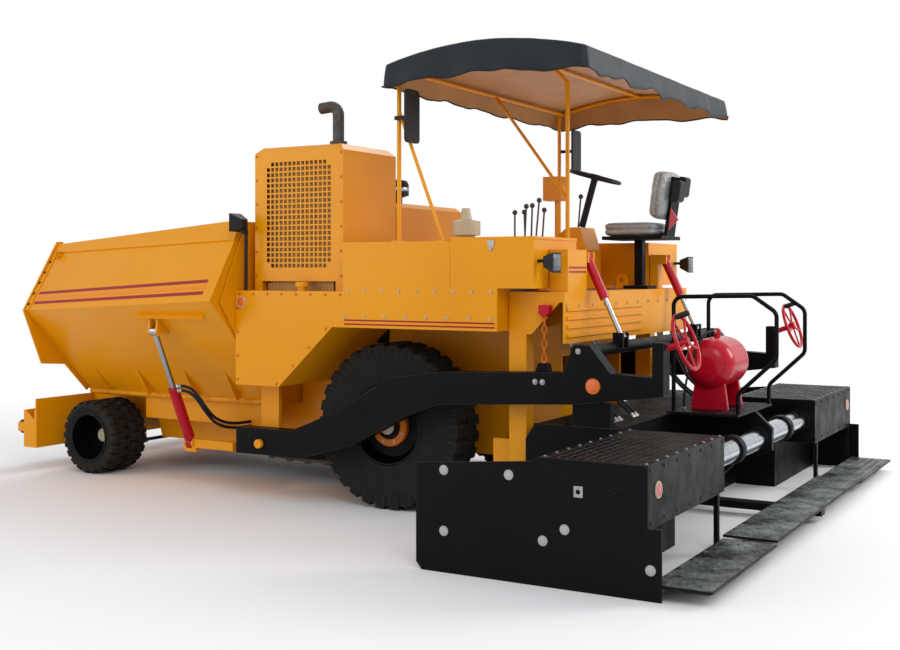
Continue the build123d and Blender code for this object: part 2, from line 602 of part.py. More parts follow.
def operator_deck():
    """Platform, its rear panel, the bracket columns of the lift cylinders and a rear box."""
    deck = block((deck_rear, 265), (-plate_out + 5, plate_out - 5), (deck_under, deck_z))
    deck += block((deck_rear, -925), (-deck_half_w, deck_half_w), (deck_under, deck_z))
    deck += block((deck_rear, deck_rear + 10), (-deck_half_w, deck_half_w), (1120, deck_under))
    for i in range(rib_count):
        z = 1150 + i * rib_step
        rib = side_plate([(deck_rear, z), (deck_rear, z + 30), (deck_rear - 12, z + 24), (deck_rear - 12, z + 6)],
                         -150, deck_half_w - 30)
        deck += rib
    for y in (-lift_y, lift_y):
        deck += block((lift_top[0] + 32, lift_top[0] + 92), (y - 49, y + 49), (deck_z, lift_top[1] + 30))
        for side in (y - 49, y + 33):
            deck += block((lift_top[0] - 30, lift_top[0] + 32), (side, side + 16), (lift_top[1] - 35, lift_top[1] + 30))
        deck += rod((lift_top[0], y - 49, lift_top[1]), (lift_top[0], y + 49, lift_top[1]), 14)
    deck += block((deck_rear, -1170), (770, 1050), (deck_z, 1680))
    return deck


def rear_posts():
    """Box posts under the deck that carry the outer auger bearings, and the centre chain case."""
    inner = deck_half_w - post_w
    post = block(post_x, (inner, deck_half_w), (post_foot_z, deck_under))
    post += side_plate([(post_x[0], 1171), (-1074, 1171), (-1259, deck_under), (post_x[0], deck_under)],
                       deck_half_w - 14, deck_half_w)
    post += block((-1000, -770), (inner - 12, inner + 12), (250, 520))
    post -= rod((auger_x, inner - 20, auger_z), (auger_x, inner + 20, auger_z), auger_shaft_r + fit_gap)
    case = block((-900, -800), (-60, 60), (240, 580))
    case -= rod((auger_x, -70, auger_z), (auger_x, 70, auger_z), auger_shaft_r + fit_gap)
    return Compound([*post.solids(), *right(post).solids(), *case.solids()])


def screw_flight(inner, outer, length, pitch, thick):
    """Helical flight about the Z axis: a thin sector carried up and round."""
    half = radians(180 * thick / pitch)
    (a, b), (c, d) = [[(r * cos(turn), r * sin(turn)) for turn in (-half, half)] for r in (inner, outer)]
    sector = make_face([Polyline(a, c), ThreePointArc(c, (outer, 0), d), Polyline(d, b), ThreePointArc(b, (inner, 0), a)])
    return Solid.extrude_linear_with_rotation(sector.face(), center=Vector(0, 0, 0), normal=Vector(0, 0, length),
                                              angle=360 * length / pitch)


def auger():
    """Left auger: shaft with a screw flight."""
    flight = screw_flight(auger_shaft_r - 6, auger_r, auger_y[1] - auger_y[0], auger_pitch, flight_t)
    shaft = rod((auger_x, 5, auger_z), (auger_x, deck_half_w - post_w + 10, auger_z), auger_shaft_r)
    return shaft + Pos(auger_x, auger_y[0], auger_z) * (Rot(-90, 0, 0) * flight)


def control_console():
    """Steering console, instrument box and lever bank."""
    console = side_plate([(-850, deck_z), (-620, deck_z), (-620, 1800), (-700, 1862), (-800, 1862), (-850, 1700)],
                         -500, -240)
    console += rod((-640, -200, 1700), (-640, -200, 2060), 14) + block((-660, -620), (-250, -190), (1700, 1740))
    console += block((-700, -560), (-260, -140), (2050, 2220))
    bank = block((-800, -600), (250, 500), (deck_z, 1700))
    return Compound([*console.solids(), *bank.solids()])


def steering_wheel():
    hub = Vector(-850, -400, 2225)
    foot = Vector(-745, -400, 1862)
    axis = (hub - foot).normalized()
    plane = Plane(origin=hub, z_dir=axis)
    wheel = plane * Torus(180, 13)
    wheel += plane * Cylinder(36, 40)
    for turn in (90, 210, 330):
        wheel += plane * (Rot(0, 0, turn) * (Pos(98, 0, 0) * Box(170, 22, 12)))
    return wheel + rod(foot + axis * 7.25, hub, 24)


def control_levers():
    levers = []
    for x, y, low, high, lean in ((-760, 300, 1700, 1960, 20), (-700, 340, 1700, 1990, 10), (-640, 300, 1700, 1950, -10),
                                  (-760, 400, 1700, 2020, 30), (-700, 440, 1700, 1980, 15), (-640, 460, 1700, 1940, 0),
                                  (-780, -260, 1862, 2080, 20)):
        lever = rod((x, y, low + 0.8), (x - lean, y, high), 6) + Pos(x - lean, y, high) * Sphere(17)
        levers += lever.solids()
    return Compound(levers)


seat_back, seat_lean = (-1320.0, 0.0, 1897.0), -8.0      # foot of the backrest and its lean


def seat_frame():
    frame = block((-1260, -1080), (-540, -360), (deck_z, 1450)) + block((-1200, -1140), (-480, -420), (1440, 1780))
    frame += block((-1400, -960), (-640, -260), (1770, 1795))
    back = Rot(0, seat_lean, 0) * block((-92, -68), (-530, -370), (-115, 320))
    frame += Pos(*seat_back) * back
    return frame


def seat_cushions():
    base = block((-1365, -935), (-670, -230), (1795 + seat_gap, 1890))
    base = fillet(base.edges(), 28)
    back = Rot(0, seat_lean, 0) * fillet(block((-67.5, 35), (-670, -230), (0, 370)).edges(), 30)
    back = Pos(*seat_back) * back
    return Compound([*base.solids(), *back.solids()])


# ---- canopy --------------------------------------------------------------------------------------
def arch(x, ends, middle, low):
    """Outline (x, z) with an arched top."""
    mid = (x[0] + x[1]) / 2
    top = ThreePointArc((x[1], 0, ends), (mid, 0, middle), (x[0], 0, ends))
    return make_face([top, Polyline((x[0], 0, ends), (x[0], 0, low), (x[1], 0, low), (x[1], 0, ends))])


def canopy_cover():
    w, t = canopy_half_w, canopy_t
    outer = Pos(0, -w, 0) * extrude(arch(canopy_x, canopy_end_z, canopy_mid_z, canopy_low), amount=2 * w, dir=(0, 1, 0))
    inner = Pos(0, -w + t, 0) * extrude(arch((canopy_x[0] + t, canopy_x[1] - t), canopy_end_z - t, canopy_mid_z - t,
                                             canopy_low - 1), amount=2 * (w - t), dir=(0, 1, 0))
    return outer - inner


def canopy_frame():
    x0, x1 = canopy_x[0] + canopy_t + canopy_tube_r + 4, canopy_x[1] - canopy_t - canopy_tube_r - 4
    y = canopy_half_w - canopy_t - canopy_tube_r - seat_gap
    z, mid_z, r = canopy_end_z - canopy_t - canopy_tube_r - 6, canopy_mid_z - canopy_t - canopy_tube_r - 4, canopy_tube_r
    rail = ThreePointArc((x0, y, z), ((x0 + x1) / 2, y, mid_z), (x1, y, z))
    frame = sweep(Plane(origin=rail @ 0, z_dir=rail % 0) * Circle(r), path=rail)
    frame += right(frame)
    for x, zz in ((x0, z), (x1, z), ((x0 + x1) / 2, mid_z)):
        frame += rod((x, -y, zz), (x, y, zz), r)
    for foot in ((-200, 1200, 1735), (-200, -1200, 1735), (-950, 300, deck_z)):
        tip_x = x1 if foot[0] > -500 else (x0 + x1) / 2
        frame += rod(foot, (foot[0], foot[1], z - 5), r)
        frame += rod((foot[0], foot[1], z - 10), (tip_x, foot[1], z if tip_x == x1 else mid_z), r)
        frame += block((foot[0] - 40, foot[0] + 40), (foot[1] - 30, foot[1] + 30), (foot[2], foot[2] + 8))
    frame += rod((-200, 1200, 2560), (-520, 1200, 1740), 11) + block((-550, -490), (1175, 1225), (1735, 1743))
    frame += rod((x1, -120, z), (-950, 300, 2030), 11)
    return frame


def lamp(back, front, tall):
    """Work lamp whose case widens from its back to its glass; points are the middles of both."""
    sections = [Plane(origin=point, x_dir=(0, 1, 0), z_dir=(1, 0, 0)) * Rectangle(size, size)
                for point, size in ((back, tall * 0.5), (front, tall))]
    return loft(sections, ruled=True)


def lamps_and_mirrors():
    """Work lamps on their posts, and mirrors on arms from the canopy's front legs."""
    front = rod((1010, 1225, 1420), (1010, 1225, 1845), 12) + lamp((1000, 1250, 1870), (1084, 1250, 1880), 125)
    front += block((1000, 1020), (1213, 1260), (1800, 1830))
    arm_x = box_x[0]
    rear = block((arm_x - 70, arm_x), (1180, 1200), (1600, 1620))
    rear += lamp((arm_x - 50, 1200, 1605), (arm_x - 125, 1200, 1600), 120)
    mirror = block((-333, -317), (1170, 1330), (2345, 2675))
    mirror = fillet(mirror.edges().filter_by(Axis.X), 30)
    mirror += block((-317, -188), (1226, 1238), (2498, 2522)) + block((-212, -188), (1214, 1238), (2498, 2522))
    return Compound([solid for piece in (front, rear, mirror) for solid in both(piece).solids()])


def front_beam():
    """Push beam with the brackets of its rollers."""
    beam = block((chassis_front, beam_front), (-1100, 1100), (180, 470))
    beam -= block((chassis_front + 12, beam_front - 12), (-1088, 1088), (192, 480))
    notch = [(chassis_front + 26, 480), (chassis_front + 26, 386), (beam_front - 30, 450), (beam_front - 30, 480)]
    beam -= side_plate(notch, -1110, 1110)
    for y in (-560, 0, 560):
        beam += side_plate([(chassis_front + 6, 186), (beam_front - 6, 186), (beam_front - 6, 300),
                            (chassis_front + 6, 440)], y - 6, y + 6)
    beam += block((chassis_front, chassis_front + 12), (-1100, 1100), (470, 560))
    for y in (-1075, -140, 120, 1055):
        beam += block((beam_front, roller_x + 30), (y, y + 20), (roller_z - 35, roller_z + 35))
    beam += rod((roller_x, -1075, roller_z), (roller_x, -120, roller_z), 18)
    beam += rod((roller_x, 120, roller_z), (roller_x, 1075, roller_z), 18)
    return beam


def push_rollers():
    pieces = []
    for y in ((145, 1050), (-1050, -145)):
        roller = ring((roller_x, y[0], roller_z), (roller_x, y[1], roller_z), roller_r, 18 + fit_gap)
        pieces += roller.solids()
    return Compound(pieces)


def lifting_lugs():
    """Eyes for the crane hooks: two over the front tanks, two at the rear of the deck."""
    lugs = []
    for x, y, z in ((1040, 620, 1420), (-1000, 540, deck_z)):
        eye = block((x - 40, x + 40), (y - 12, y + 12), (z, z + 60)) + rod((x, y - 12, z + 60), (x, y + 12, z + 60), 40)
        eye -= rod((x, y - 20, z + 60), (x, y + 20, z + 60), 20)
        lugs += [*eye.solids(), *right(eye).solids()]
    return Compound(lugs)


# ---- screed --------------------------------------------------------------------------------------
def tow_arms():
    outline = [(1100, 316), (1100, 493), (640, 493), (250, 650), (-150, 880), (-500, 930), (-1340, 962), (-1400, 1125),
               (-1500, 1125), (-1631, 941 + 25), (-1880, 955), (-1880, 1150), (-1947, 1150), (-1947, 850), (-1420, 780),
               (-500, 730), (-250, 640), (150, 430), (560, 316)]
    arm = side_plate(outline, *arm_y)
    arm -= rod((tow_pin[0], arm_y[0] - 5, tow_pin[1]), (tow_pin[0], arm_y[1] + 5, tow_pin[1]), tow_pin_r + fit_gap)
    arm += block((-1620, -1380), (1130, 1185), (screed_top, 790))
    arms = arm + right(arm)
    x, z = cross_tube
    arms += rod((x, -arm_y[0] - 5, z), (x, arm_y[0] + 5, z), 38)
    for y in (-lift_y, lift_y):
        for side in (y - 49, y + 33):
            arms += block((lift_low[0] - 30, x), (side, side + 16), (z, lift_low[1] + 25))
        arms += rod((lift_low[0], y - 49, lift_low[1]), (lift_low[0], y + 49, lift_low[1]), 14)
    return arms


def screed_body():
    """Main screed with its centre web, the tank platform and the centre footboard bearer."""
    outline = [(screed_x[0], 0), (screed_x[1] - 30, 0), (screed_x[1], 60), (screed_x[1], 560), (screed_x[1] - 60, 650),
               (screed_x[0], 650)]
    hollow = [(screed_x[0] + 10, 14), (screed_x[1] - 40, 14), (screed_x[1] - 12, 66), (screed_x[1] - 12, 556),
              (screed_x[1] - 66, 640), (screed_x[0] + 10, 640)]
    body = side_plate(outline, -screed_half_w, screed_half_w)
    body -= side_plate(hollow, -screed_half_w + 10, screed_half_w - 10)
    web = side_plate([(screed_x[0], 20), (screed_x[0], 664), (-2120, 664), (-2230, 560), (-2230, 420), (-2000, 330),
                      (-1760, 100), (-1700, 20)], -20, 20)
    web -= rod((guide_x, -30, guide_z), (guide_x, 30, guide_z), guide_r + seat_gap)
    body += web + block((-2120, -1662), (-380, 380), (660, 674))
    body += block((board_x[0] + 10, -1700), (-45, 45), (40, board_z))
    return body + side_plate([(screed_x[0], 20), (-1720, 20), (-1720, board_z), (screed_x[0], 300)], -45, 45)


def guide_tubes():
    tube = ring((guide_x, -guide_half, guide_z), (guide_x, guide_half, guide_z), guide_r, guide_r - 10)
    return tube


def footboards():
    return block(board_x, (-board_half_in, board_half_in), (board_z, board_z + board_t))


def burner_tank():
    x, z, r = -1870.0, 965.0, 162.0
    tank = rod((x, -250, z), (x, 250, z), r)
    tank = fillet(tank.edges().filter_by(GeomType.CIRCLE), 0.72 * r)
    for y in (-150, 150):
        tank += side_plate([(x - 120, 674), (x + 120, 674), (x + 90, z - 80), (x - 90, z - 80)], y - 15, y + 15)
    tank += rod((x, 0, z + r - 10), (x, 0, z + r + 50), 22) + rod((x, -34, z + r + 34), (x, 34, z + r + 34), 13)
    return tank


def handwheels():
    tilt = radians(20)
    axis = Vector(-cos(tilt), 0, sin(tilt))
    wheels = []
    for y in (-1170, 1170):
        hub = Vector(-2060, y, 1157)
        plane = Plane(origin=hub, z_dir=axis)
        wheel = plane * Torus(157, 11) + plane * Cylinder(26, 36)
        for i in range(5):
            wheel += plane * (Rot(0, 0, 72 * i) * (Pos(85, 0, 0) * Box(150, 12, 10)))
        wheel += rod(hub, hub - axis * 113.3, 18)
        wheels += wheel.solids()
    return Compound(wheels)


def guard_rails():
    points = [(-1700, 674), (-1700, 1390), (-2200, 1400), (-2345, 1300), (-2345, 1020), (-2110, 800), (-2110, 674)]
    rails = []
    for y in (-350, 350):
        rails += bent_tube([(x, y, z) for x, z in points], 60, 13).solids()
    return Compound(rails)


def extension():
    """Left extension: hollow box, its screed unit below and the outer footboard on hangers."""
    box = block(ext_x, ext_y, ext_z)
    box -= block((ext_x[0] + ext_wall, ext_x[1] - ext_wall), (ext_y[0] + ext_wall, ext_y[1] - ext_wall),
                 (ext_z[0] + ext_wall, ext_z[1] - ext_wall))
    box -= rod((guide_x, ext_y[0] - 5, guide_z), (guide_x, ext_y[0] + ext_wall + 5, guide_z), guide_r + fit_gap)
    box += block((-1960, ext_x[1]), ext_y, (0, ext_z[0]))
    box += block(board_x, board_y_out, (board_z - 18, board_z - 6))
    for y in (1140, 2190):
        box += block((-2240, -2215), (y, y + 30), (58, ext_z[0]))
        box += block((board_x[0] + 20, -2215), (y, y + 30), (58, board_z - 18))
    return box


def end_plate():
    outline = [(-1004, 0), (-968, 40), (-968, 556), (-1633, 613), (ext_x[1], ext_z[1]), (ext_x[0], ext_z[1]),
               (ext_x[0], 344), (-2311, 344), (-2311, 0)]
    plate = side_plate(outline, ext_y[1], ext_y[1] + end_plate_t)
    for i in range(6):
        a = radians(60 * i)
        x, z = -2094 + 40 * cos(a), 491 + 40 * sin(a)
        plate -= rod((x, ext_y[1] - 5, z), (x, ext_y[1] + end_plate_t + 5, z), 7)
    return plate


def lift_piece(part):
    pieces = []
    for y in (-lift_y, lift_y):
        top, low = Vector(lift_top[0], y, lift_top[1]), Vector(lift_low[0], y, lift_low[1])
        d, across = (low - top).normalized(), Vector(0, 28, 0)
        if part == "barrel":
            shape = rod(top + d * 20, top + d * lift_barrel_len, lift_barrel_r) + rod(top - across, top + across, 27)
            shape -= rod(top - across * 2, top + across * 2, 14 + fit_gap)
            shape -= rod(top + d * 30, top + d * (lift_barrel_len + 5), lift_rod_r + fit_gap)
        else:
            shape = rod(top + d * (lift_stroke + 35), low - d * 15, lift_rod_r) + rod(low - across, low + across, 25)
            for shift in (0, lift_play):
                pin = low + Vector(-d.Z, 0, d.X) * shift
                shape -= rod(pin - across * 2, pin + across * 2, 14 + lift_eye_gap)
        pieces += shape.solids()
    return Compound(pieces)


# ---- writing -------------------------------------------------------------------------------------
def pieces():
    """Every node with the function that makes it."""
    single = [chassis_frame, side_brackets, axles, hopper_base, conveyors, front_beam, push_rollers, engine_block, radiator_hood,
              radiator_core, engine_cover, exhaust_pipe, filters, front_tanks, rear_tanks, tool_box, tool_box_lid,
              operator_deck, rear_posts, control_console, steering_wheel, control_levers, seat_frame, seat_cushions,
              canopy_frame, canopy_cover, lamps_and_mirrors, lifting_lugs, tie_rod, tow_arms, screed_body, guide_tubes,
              footboards, burner_tank, handwheels, guard_rails]
    paired = [knuckle, rear_tyre, rear_hub, front_tyres, front_hub, wing, wing_barrel, wing_rod, auger, extension,
              end_plate]
    for make in single:
        yield make.__name__, make()
    for make in paired:
        left = make()
        yield make.__name__ + "_left", left
        yield make.__name__ + "_right", right(left)
    for part in ("barrel", "rod"):
        yield f"lift_{part}s", lift_piece(part)


os.makedirs("parts", exist_ok=True)
for name, shape in pieces():
    moved = Pos(axle_x, 0, 0) * shape
    solids = moved.solids()
    export_step(solids[0] if len(solids) == 1 else Compound(solids), f"parts/{name}.step")
    print(name, len(solids), round(sum(s.volume for s in solids) / 1e6, 1))
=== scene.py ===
import json
import math
from contextlib import contextmanager

import bmesh
import bpy
from mathutils import Matrix, Vector, noise


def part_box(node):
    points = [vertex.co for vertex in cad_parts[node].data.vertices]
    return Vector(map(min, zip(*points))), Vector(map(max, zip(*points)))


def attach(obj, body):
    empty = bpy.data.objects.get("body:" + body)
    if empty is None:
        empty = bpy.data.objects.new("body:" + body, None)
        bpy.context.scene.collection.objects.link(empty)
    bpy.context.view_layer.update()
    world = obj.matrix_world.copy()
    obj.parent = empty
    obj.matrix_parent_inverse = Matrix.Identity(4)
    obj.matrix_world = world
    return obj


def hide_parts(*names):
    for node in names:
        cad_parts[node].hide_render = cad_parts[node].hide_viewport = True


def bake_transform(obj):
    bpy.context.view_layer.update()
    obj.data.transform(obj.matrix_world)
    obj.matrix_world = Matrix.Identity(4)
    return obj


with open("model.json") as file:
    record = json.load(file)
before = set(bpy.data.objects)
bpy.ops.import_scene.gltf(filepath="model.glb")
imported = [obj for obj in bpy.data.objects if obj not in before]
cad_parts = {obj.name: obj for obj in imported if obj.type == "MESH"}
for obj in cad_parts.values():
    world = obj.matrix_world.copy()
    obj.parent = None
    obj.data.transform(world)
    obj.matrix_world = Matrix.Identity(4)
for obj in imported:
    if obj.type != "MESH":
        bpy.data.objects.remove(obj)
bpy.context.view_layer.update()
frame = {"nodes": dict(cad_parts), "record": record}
cadNodes = frame["nodes"]
print("frame loaded:", len(cadNodes), "nodes")

scene = bpy.context.scene
scene.view_settings.view_transform = "Standard"
sides = ((1, "left"), (-1, "right"))


# camera, floor and light

cameraPlan = {
    "position": (-4.70, 7.61, 1.547),
    "looksAlong": (0.498, -0.867, 0.0),
    "lens": 48.2,
    "shiftY": -0.0592,
}


def makeCamera(plan):
    data = bpy.data.cameras.new("paverCamera")
    data.lens = plan["lens"]
    data.shift_y = plan["shiftY"]
    camera = bpy.data.objects.new("paverCamera", data)
    camera.location = plan["position"]
    camera.rotation_mode = "QUATERNION"
    camera.rotation_quaternion = Vector(plan["looksAlong"]).to_track_quat("-Z", "Y")
    scene.collection.objects.link(camera)
    scene.camera = camera


def hexColour(text):
    # sRGB hex to the linear values that Blender's sockets take
    parts = [int(text[i : i + 2], 16) / 255 for i in (1, 3, 5)]
    return tuple(v / 12.92 if v <= 0.04045 else ((v + 0.055) / 1.055) ** 2.4 for v in parts) + (1.0,)


def addNode(tree, kind, inputs=None, **settings):
    # inputs: socket name or number to a plain value, or to an output socket that feeds it
    node = tree.nodes.new(kind)
    for name, value in settings.items():
        setattr(node, name, value)
    for name, value in (inputs or {}).items():
        socket = node.inputs[name]
        if isinstance(value, bpy.types.NodeSocket):
            tree.links.new(value, socket)
        else:
            socket.default_value = value
    return node


def nodeOut(tree, kind, inputs=None, output=0, **settings):
    return addNode(tree, kind, inputs, **settings).outputs[output]


def maths(tree, operation, *values):
    return nodeOut(tree, "ShaderNodeMath", dict(enumerate(values)), operation=operation)


lightPlan = {
    "sky": "#f4f6fa", "skyLevel": 0.72, "backdrop": "#ffffff", "floor": "#f6f6f6", "floorHalf": 60.0,
    "fadeNear": 3.4, "fadeFar": 7.5,  # metres from the machine over which the floor turns to backdrop
    "lamps": (
        # name, position, aimed at, size, watts
        ("keySoftbox", (-6.0, 7.5, 7.5), (-0.3, 0.5, 0.8), 5.0, 230.0),
        ("fillSoftbox", (5.5, 8.0, 3.5), (0.5, 0.5, 0.9), 5.0, 110.0),
        ("rearSoftbox", (-8.0, -4.0, 4.5), (-1.5, 0.0, 0.8), 4.0, 330.0),
        ("topSoftbox", (1.0, -5.0, 8.5), (0.5, -0.5, 1.0), 5.0, 210.0),
    ),
}


def makeLight(plan):
    world = bpy.data.worlds.new("studioRoom")
    scene.world = world
    world.use_nodes = True
    tree = world.node_tree
    tree.nodes.clear()
    rays = addNode(tree, "ShaderNodeLightPath").outputs
    seen = maths(tree, "MAXIMUM", rays["Is Camera Ray"], rays["Is Glossy Ray"])
    room, back = (nodeOut(tree, "ShaderNodeBackground", {"Color": hexColour(colour), "Strength": strength})
                  for colour, strength in ((plan["sky"], plan["skyLevel"]), (plan["backdrop"], 1.0)))
    mix = nodeOut(tree, "ShaderNodeMixShader", {0: seen, 1: room, 2: back})
    addNode(tree, "ShaderNodeOutputWorld", {"Surface": mix})
    for name, position, aim, size, watts in plan["lamps"]:
        lamp = bpy.data.lights.new(name, "AREA")
        lamp.shape = "DISK"
        lamp.size = size
        lamp.energy = watts
        holder = bpy.data.objects.new(name, lamp)
        holder.location = position
        holder.rotation_euler = (Vector(aim) - Vector(position)).to_track_quat("-Z", "Y").to_euler()
        scene.collection.objects.link(holder)


def makeFloor(plan):
    half = plan["floorHalf"]
    mesh = bpy.data.meshes.new("studioFloor")
    corners = [(-half, -half, 0), (half, -half, 0), (half, half, 0), (-half, half, 0)]
    mesh.from_pydata(corners, [], [(0, 1, 2, 3)])
    floor = bpy.data.objects.new("studioFloor", mesh)
    scene.collection.objects.link(floor)
    paper = bpy.data.materials.new("matt backdrop paper")
    paper.use_nodes = True
    tree = paper.node_tree
    shader = tree.nodes["Principled BSDF"]
    shader.inputs["Base Color"].default_value = hexColour(plan["floor"])
    shader.inputs["Roughness"].default_value = 0.95
    shader.inputs["Specular IOR Level"].default_value = 0.1
    spot = nodeOut(tree, "ShaderNodeTexCoord", output="Object")
    away = nodeOut(tree, "ShaderNodeVectorMath", {0: spot}, "Value", operation="LENGTH")
    far = nodeOut(tree, "ShaderNodeMapRange",
                  {"Value": away, "From Min": plan["fadeNear"], "From Max": plan["fadeFar"]})
    shown = maths(tree, "MULTIPLY", far, nodeOut(tree, "ShaderNodeLightPath", output="Is Camera Ray"))
    glow = nodeOut(tree, "ShaderNodeEmission", {"Color": hexColour(plan["backdrop"]), "Strength": 1.0})
    mix = nodeOut(tree, "ShaderNodeMixShader", {0: shown, 1: shader.outputs[0], 2: glow})
    tree.links.new(mix, tree.nodes["Material Output"].inputs["Surface"])
    mesh.materials.append(paper)


makeCamera(cameraPlan)
makeLight(lightPlan)
makeFloor(lightPlan)
print("camera, light and floor ready")


# materials

def grey(level):
    return (level, level, level, 1.0)


class Finish:
    # a material being built: its node tree, its shader and the point that its patterns follow

    def __init__(self, name, roughness, metallic=0.0, coat=0.0, specular=0.5, stretch=(1, 1, 1)):
        self.material = bpy.data.materials.new(name)
        self.material.use_nodes = True
        self.tree = self.material.node_tree
        self.shader = self.tree.nodes["Principled BSDF"]
        values = {"Roughness": roughness, "Metallic": metallic}
        if not metallic:
            values.update({"IOR": 1.5, "Specular IOR Level": specular})
        if coat:
            values.update({"Coat Weight": coat, "Coat Roughness": 0.12})
        for socket, value in values.items():
            self.shader.inputs[socket].default_value = value
        self.point = self.stretched(stretch)

    def out(self, kind, inputs=None, output=0, **settings):
        return nodeOut(self.tree, kind, inputs, output, **settings)

    def stretched(self, scale):
        spot = self.out("ShaderNodeTexCoord", output="Object")
        return self.out("ShaderNodeMapping", {"Vector": spot, "Scale": scale})

    def noise(self, millimetres, detail=3.0, roughness=0.5, point=None):
        # one blotch of the noise is about this many millimetres wide
        point = self.point if point is None else point
        return self.out("ShaderNodeTexNoise", {
            "Vector": point, "Scale": 1000.0 / millimetres, "Detail": detail, "Roughness": roughness}, "Fac")

    def ramp(self, factor, *stops):
        # two stops of (position, grey level)
        node = addNode(self.tree, "ShaderNodeValToRGB", {0: factor})
        for element, (position, level) in zip(node.color_ramp.elements, stops):
            element.position = position
            element.color = grey(level)
        return node.outputs["Color"]

    def mix(self, factor, first, second, mode="MIX"):
        # colours are hex text, plain values or output sockets
        first, second = (hexColour(c) if isinstance(c, str) else c for c in (first, second))
        return self.out("ShaderNodeMix", {0: factor, 6: first, 7: second}, 2,
                        data_type="RGBA", blend_type=mode)

    def edgeWear(self, millimetres):
        # 1 on outer edges and corners, 0 on open faces
        bevelled = self.out("ShaderNodeBevel", {"Radius": millimetres / 1000.0}, samples=4)
        plain = self.out("ShaderNodeNewGeometry", output="Normal")
        turn = self.out("ShaderNodeVectorMath", {0: bevelled, 1: plain}, "Value", operation="DOT_PRODUCT")
        return self.ramp(turn, (0.86, 1.0), (0.985, 0.0))

    def done(self, colour, rough=None, relief=None):
        # relief: height, its depth in millimetres, strength
        sockets = self.shader.inputs
        self.tree.links.new(colour, sockets["Base Color"])
        if rough is not None:
            self.tree.links.new(rough, sockets["Roughness"])
        if relief:
            height, millimetres, strength = relief
            bump = self.out("ShaderNodeBump",
                            {"Height": height, "Distance": millimetres / 1000.0, "Strength": strength})
            self.tree.links.new(bump, sockets["Normal"])
        return self.material


def enamel(name, colour, darker, roughness=0.3, coat=0.1):
    # sprayed gloss enamel over welded plate: slight orange peel, faint tone drift, road dust low down
    made = Finish(name, roughness, coat=coat, specular=0.2)
    tone = made.mix(made.noise(700.0, 2.0), colour, darker)
    speck = made.ramp(made.noise(45.0, 6.0, 0.65), (0.52, 0.0), (0.72, 1.0))
    height = made.out("ShaderNodeSeparateXYZ", {0: made.point}, "Z")
    low = made.out("ShaderNodeMapRange", {"Value": height, "From Min": 0.9, "From Max": 0.1, "To Max": 0.16})
    dusty = made.mix(maths(made.tree, "MULTIPLY", speck, low), tone, "#8d7a52")
    return made.done(dusty, relief=(made.noise(3.0, 2.0), 0.25, 0.25))


def blackEnamel(name, worn="#5c5c60"):
    # gloss black enamel on heavy plate, faintly dusty, rubbed to a duller grey on its edges
    made = Finish(name, 0.34, specular=0.1)
    tone = made.mix(made.noise(260.0, 4.0), "#050506", "#0d0d0e")
    rubbed = maths(made.tree, "MULTIPLY", made.edgeWear(5.0), made.noise(40.0, 5.0))
    rough = made.ramp(made.noise(120.0, 4.0), (0.3, 0.34), (0.7, 0.55))
    return made.done(made.mix(rubbed, tone, worn), rough, (made.noise(2.5, 3.0), 0.3, 0.35))


def wornEnamel(name):
    # black enamel walked through to dull steel, patchy and scratched
    made = Finish(name, 0.45, metallic=0.35)
    patch = made.ramp(made.noise(160.0, 6.0, 0.62), (0.36, 0.0), (0.66, 1.0))
    scratch = made.noise(14.0, 5.0, 0.6, made.stretched((1.0, 0.12, 1.0)))
    tone = made.mix(patch, "#1b1d1e", made.mix(scratch, "#55595a", "#a3a8a8"))
    return made.done(tone, made.ramp(scratch, (0.3, 0.3), (0.7, 0.6)), (scratch, 0.6, 0.4))


def tyreRubber(name):
    # moulded carbon-black rubber: matt, dusty brown on its edges, fine mould grain
    made = Finish(name, 0.78, specular=0.2)
    tone = made.mix(made.noise(90.0, 5.0), "#0f0f0f", "#22211f")
    edges = made.ramp(made.edgeWear(9.0), (0.2, 0.0), (0.9, 0.75))
    dusty = made.mix(maths(made.tree, "MULTIPLY", edges, made.noise(60.0, 5.0)), tone, "#6d6253")
    return made.done(dusty, relief=(made.noise(4.0, 4.0), 0.5, 0.5))


def bareSteel(name, light, dark, roughness, rust=0.0, millimetres=60.0):
    # uncoated rolled steel: mill scale, scuffs and, where it works in hot mix, thin rust
    made = Finish(name, roughness, metallic=0.85)
    tone = made.mix(made.noise(millimetres, 6.0), light, dark)
    if rust:
        spread = made.ramp(made.noise(millimetres * 3, 5.0, 0.6), (0.45, 0.0), (0.75, rust))
        tone = made.mix(spread, tone, "#5b3420")
    rough = made.ramp(made.noise(millimetres / 2, 4.0), (0.3, roughness - 0.1), (0.7, roughness + 0.15))
    return made.done(tone, rough, (made.noise(6.0, 4.0), 0.4, 0.3))


def hardChrome(name):
    # ground and hard-chromed bar: bright, with fine turning marks round it
    made = Finish(name, 0.1, metallic=1.0, stretch=(0.2, 1.0, 0.2))
    tone = made.mix(made.noise(30.0, 4.0), "#b9c1c8", "#8b949c")
    return made.done(tone, made.ramp(made.noise(12.0, 3.0), (0.3, 0.05), (0.7, 0.2)))


def mouldedPlastic(name, colour, roughness=0.5, grain=1.6):
    # injection-moulded black plastic with a fine leather-like grain
    made = Finish(name, roughness, specular=0.25)
    tone = made.mix(made.noise(80.0, 3.0), colour, "#1b1b1d")
    return made.done(tone, relief=(made.noise(grain, 2.0), 0.2, 0.4))


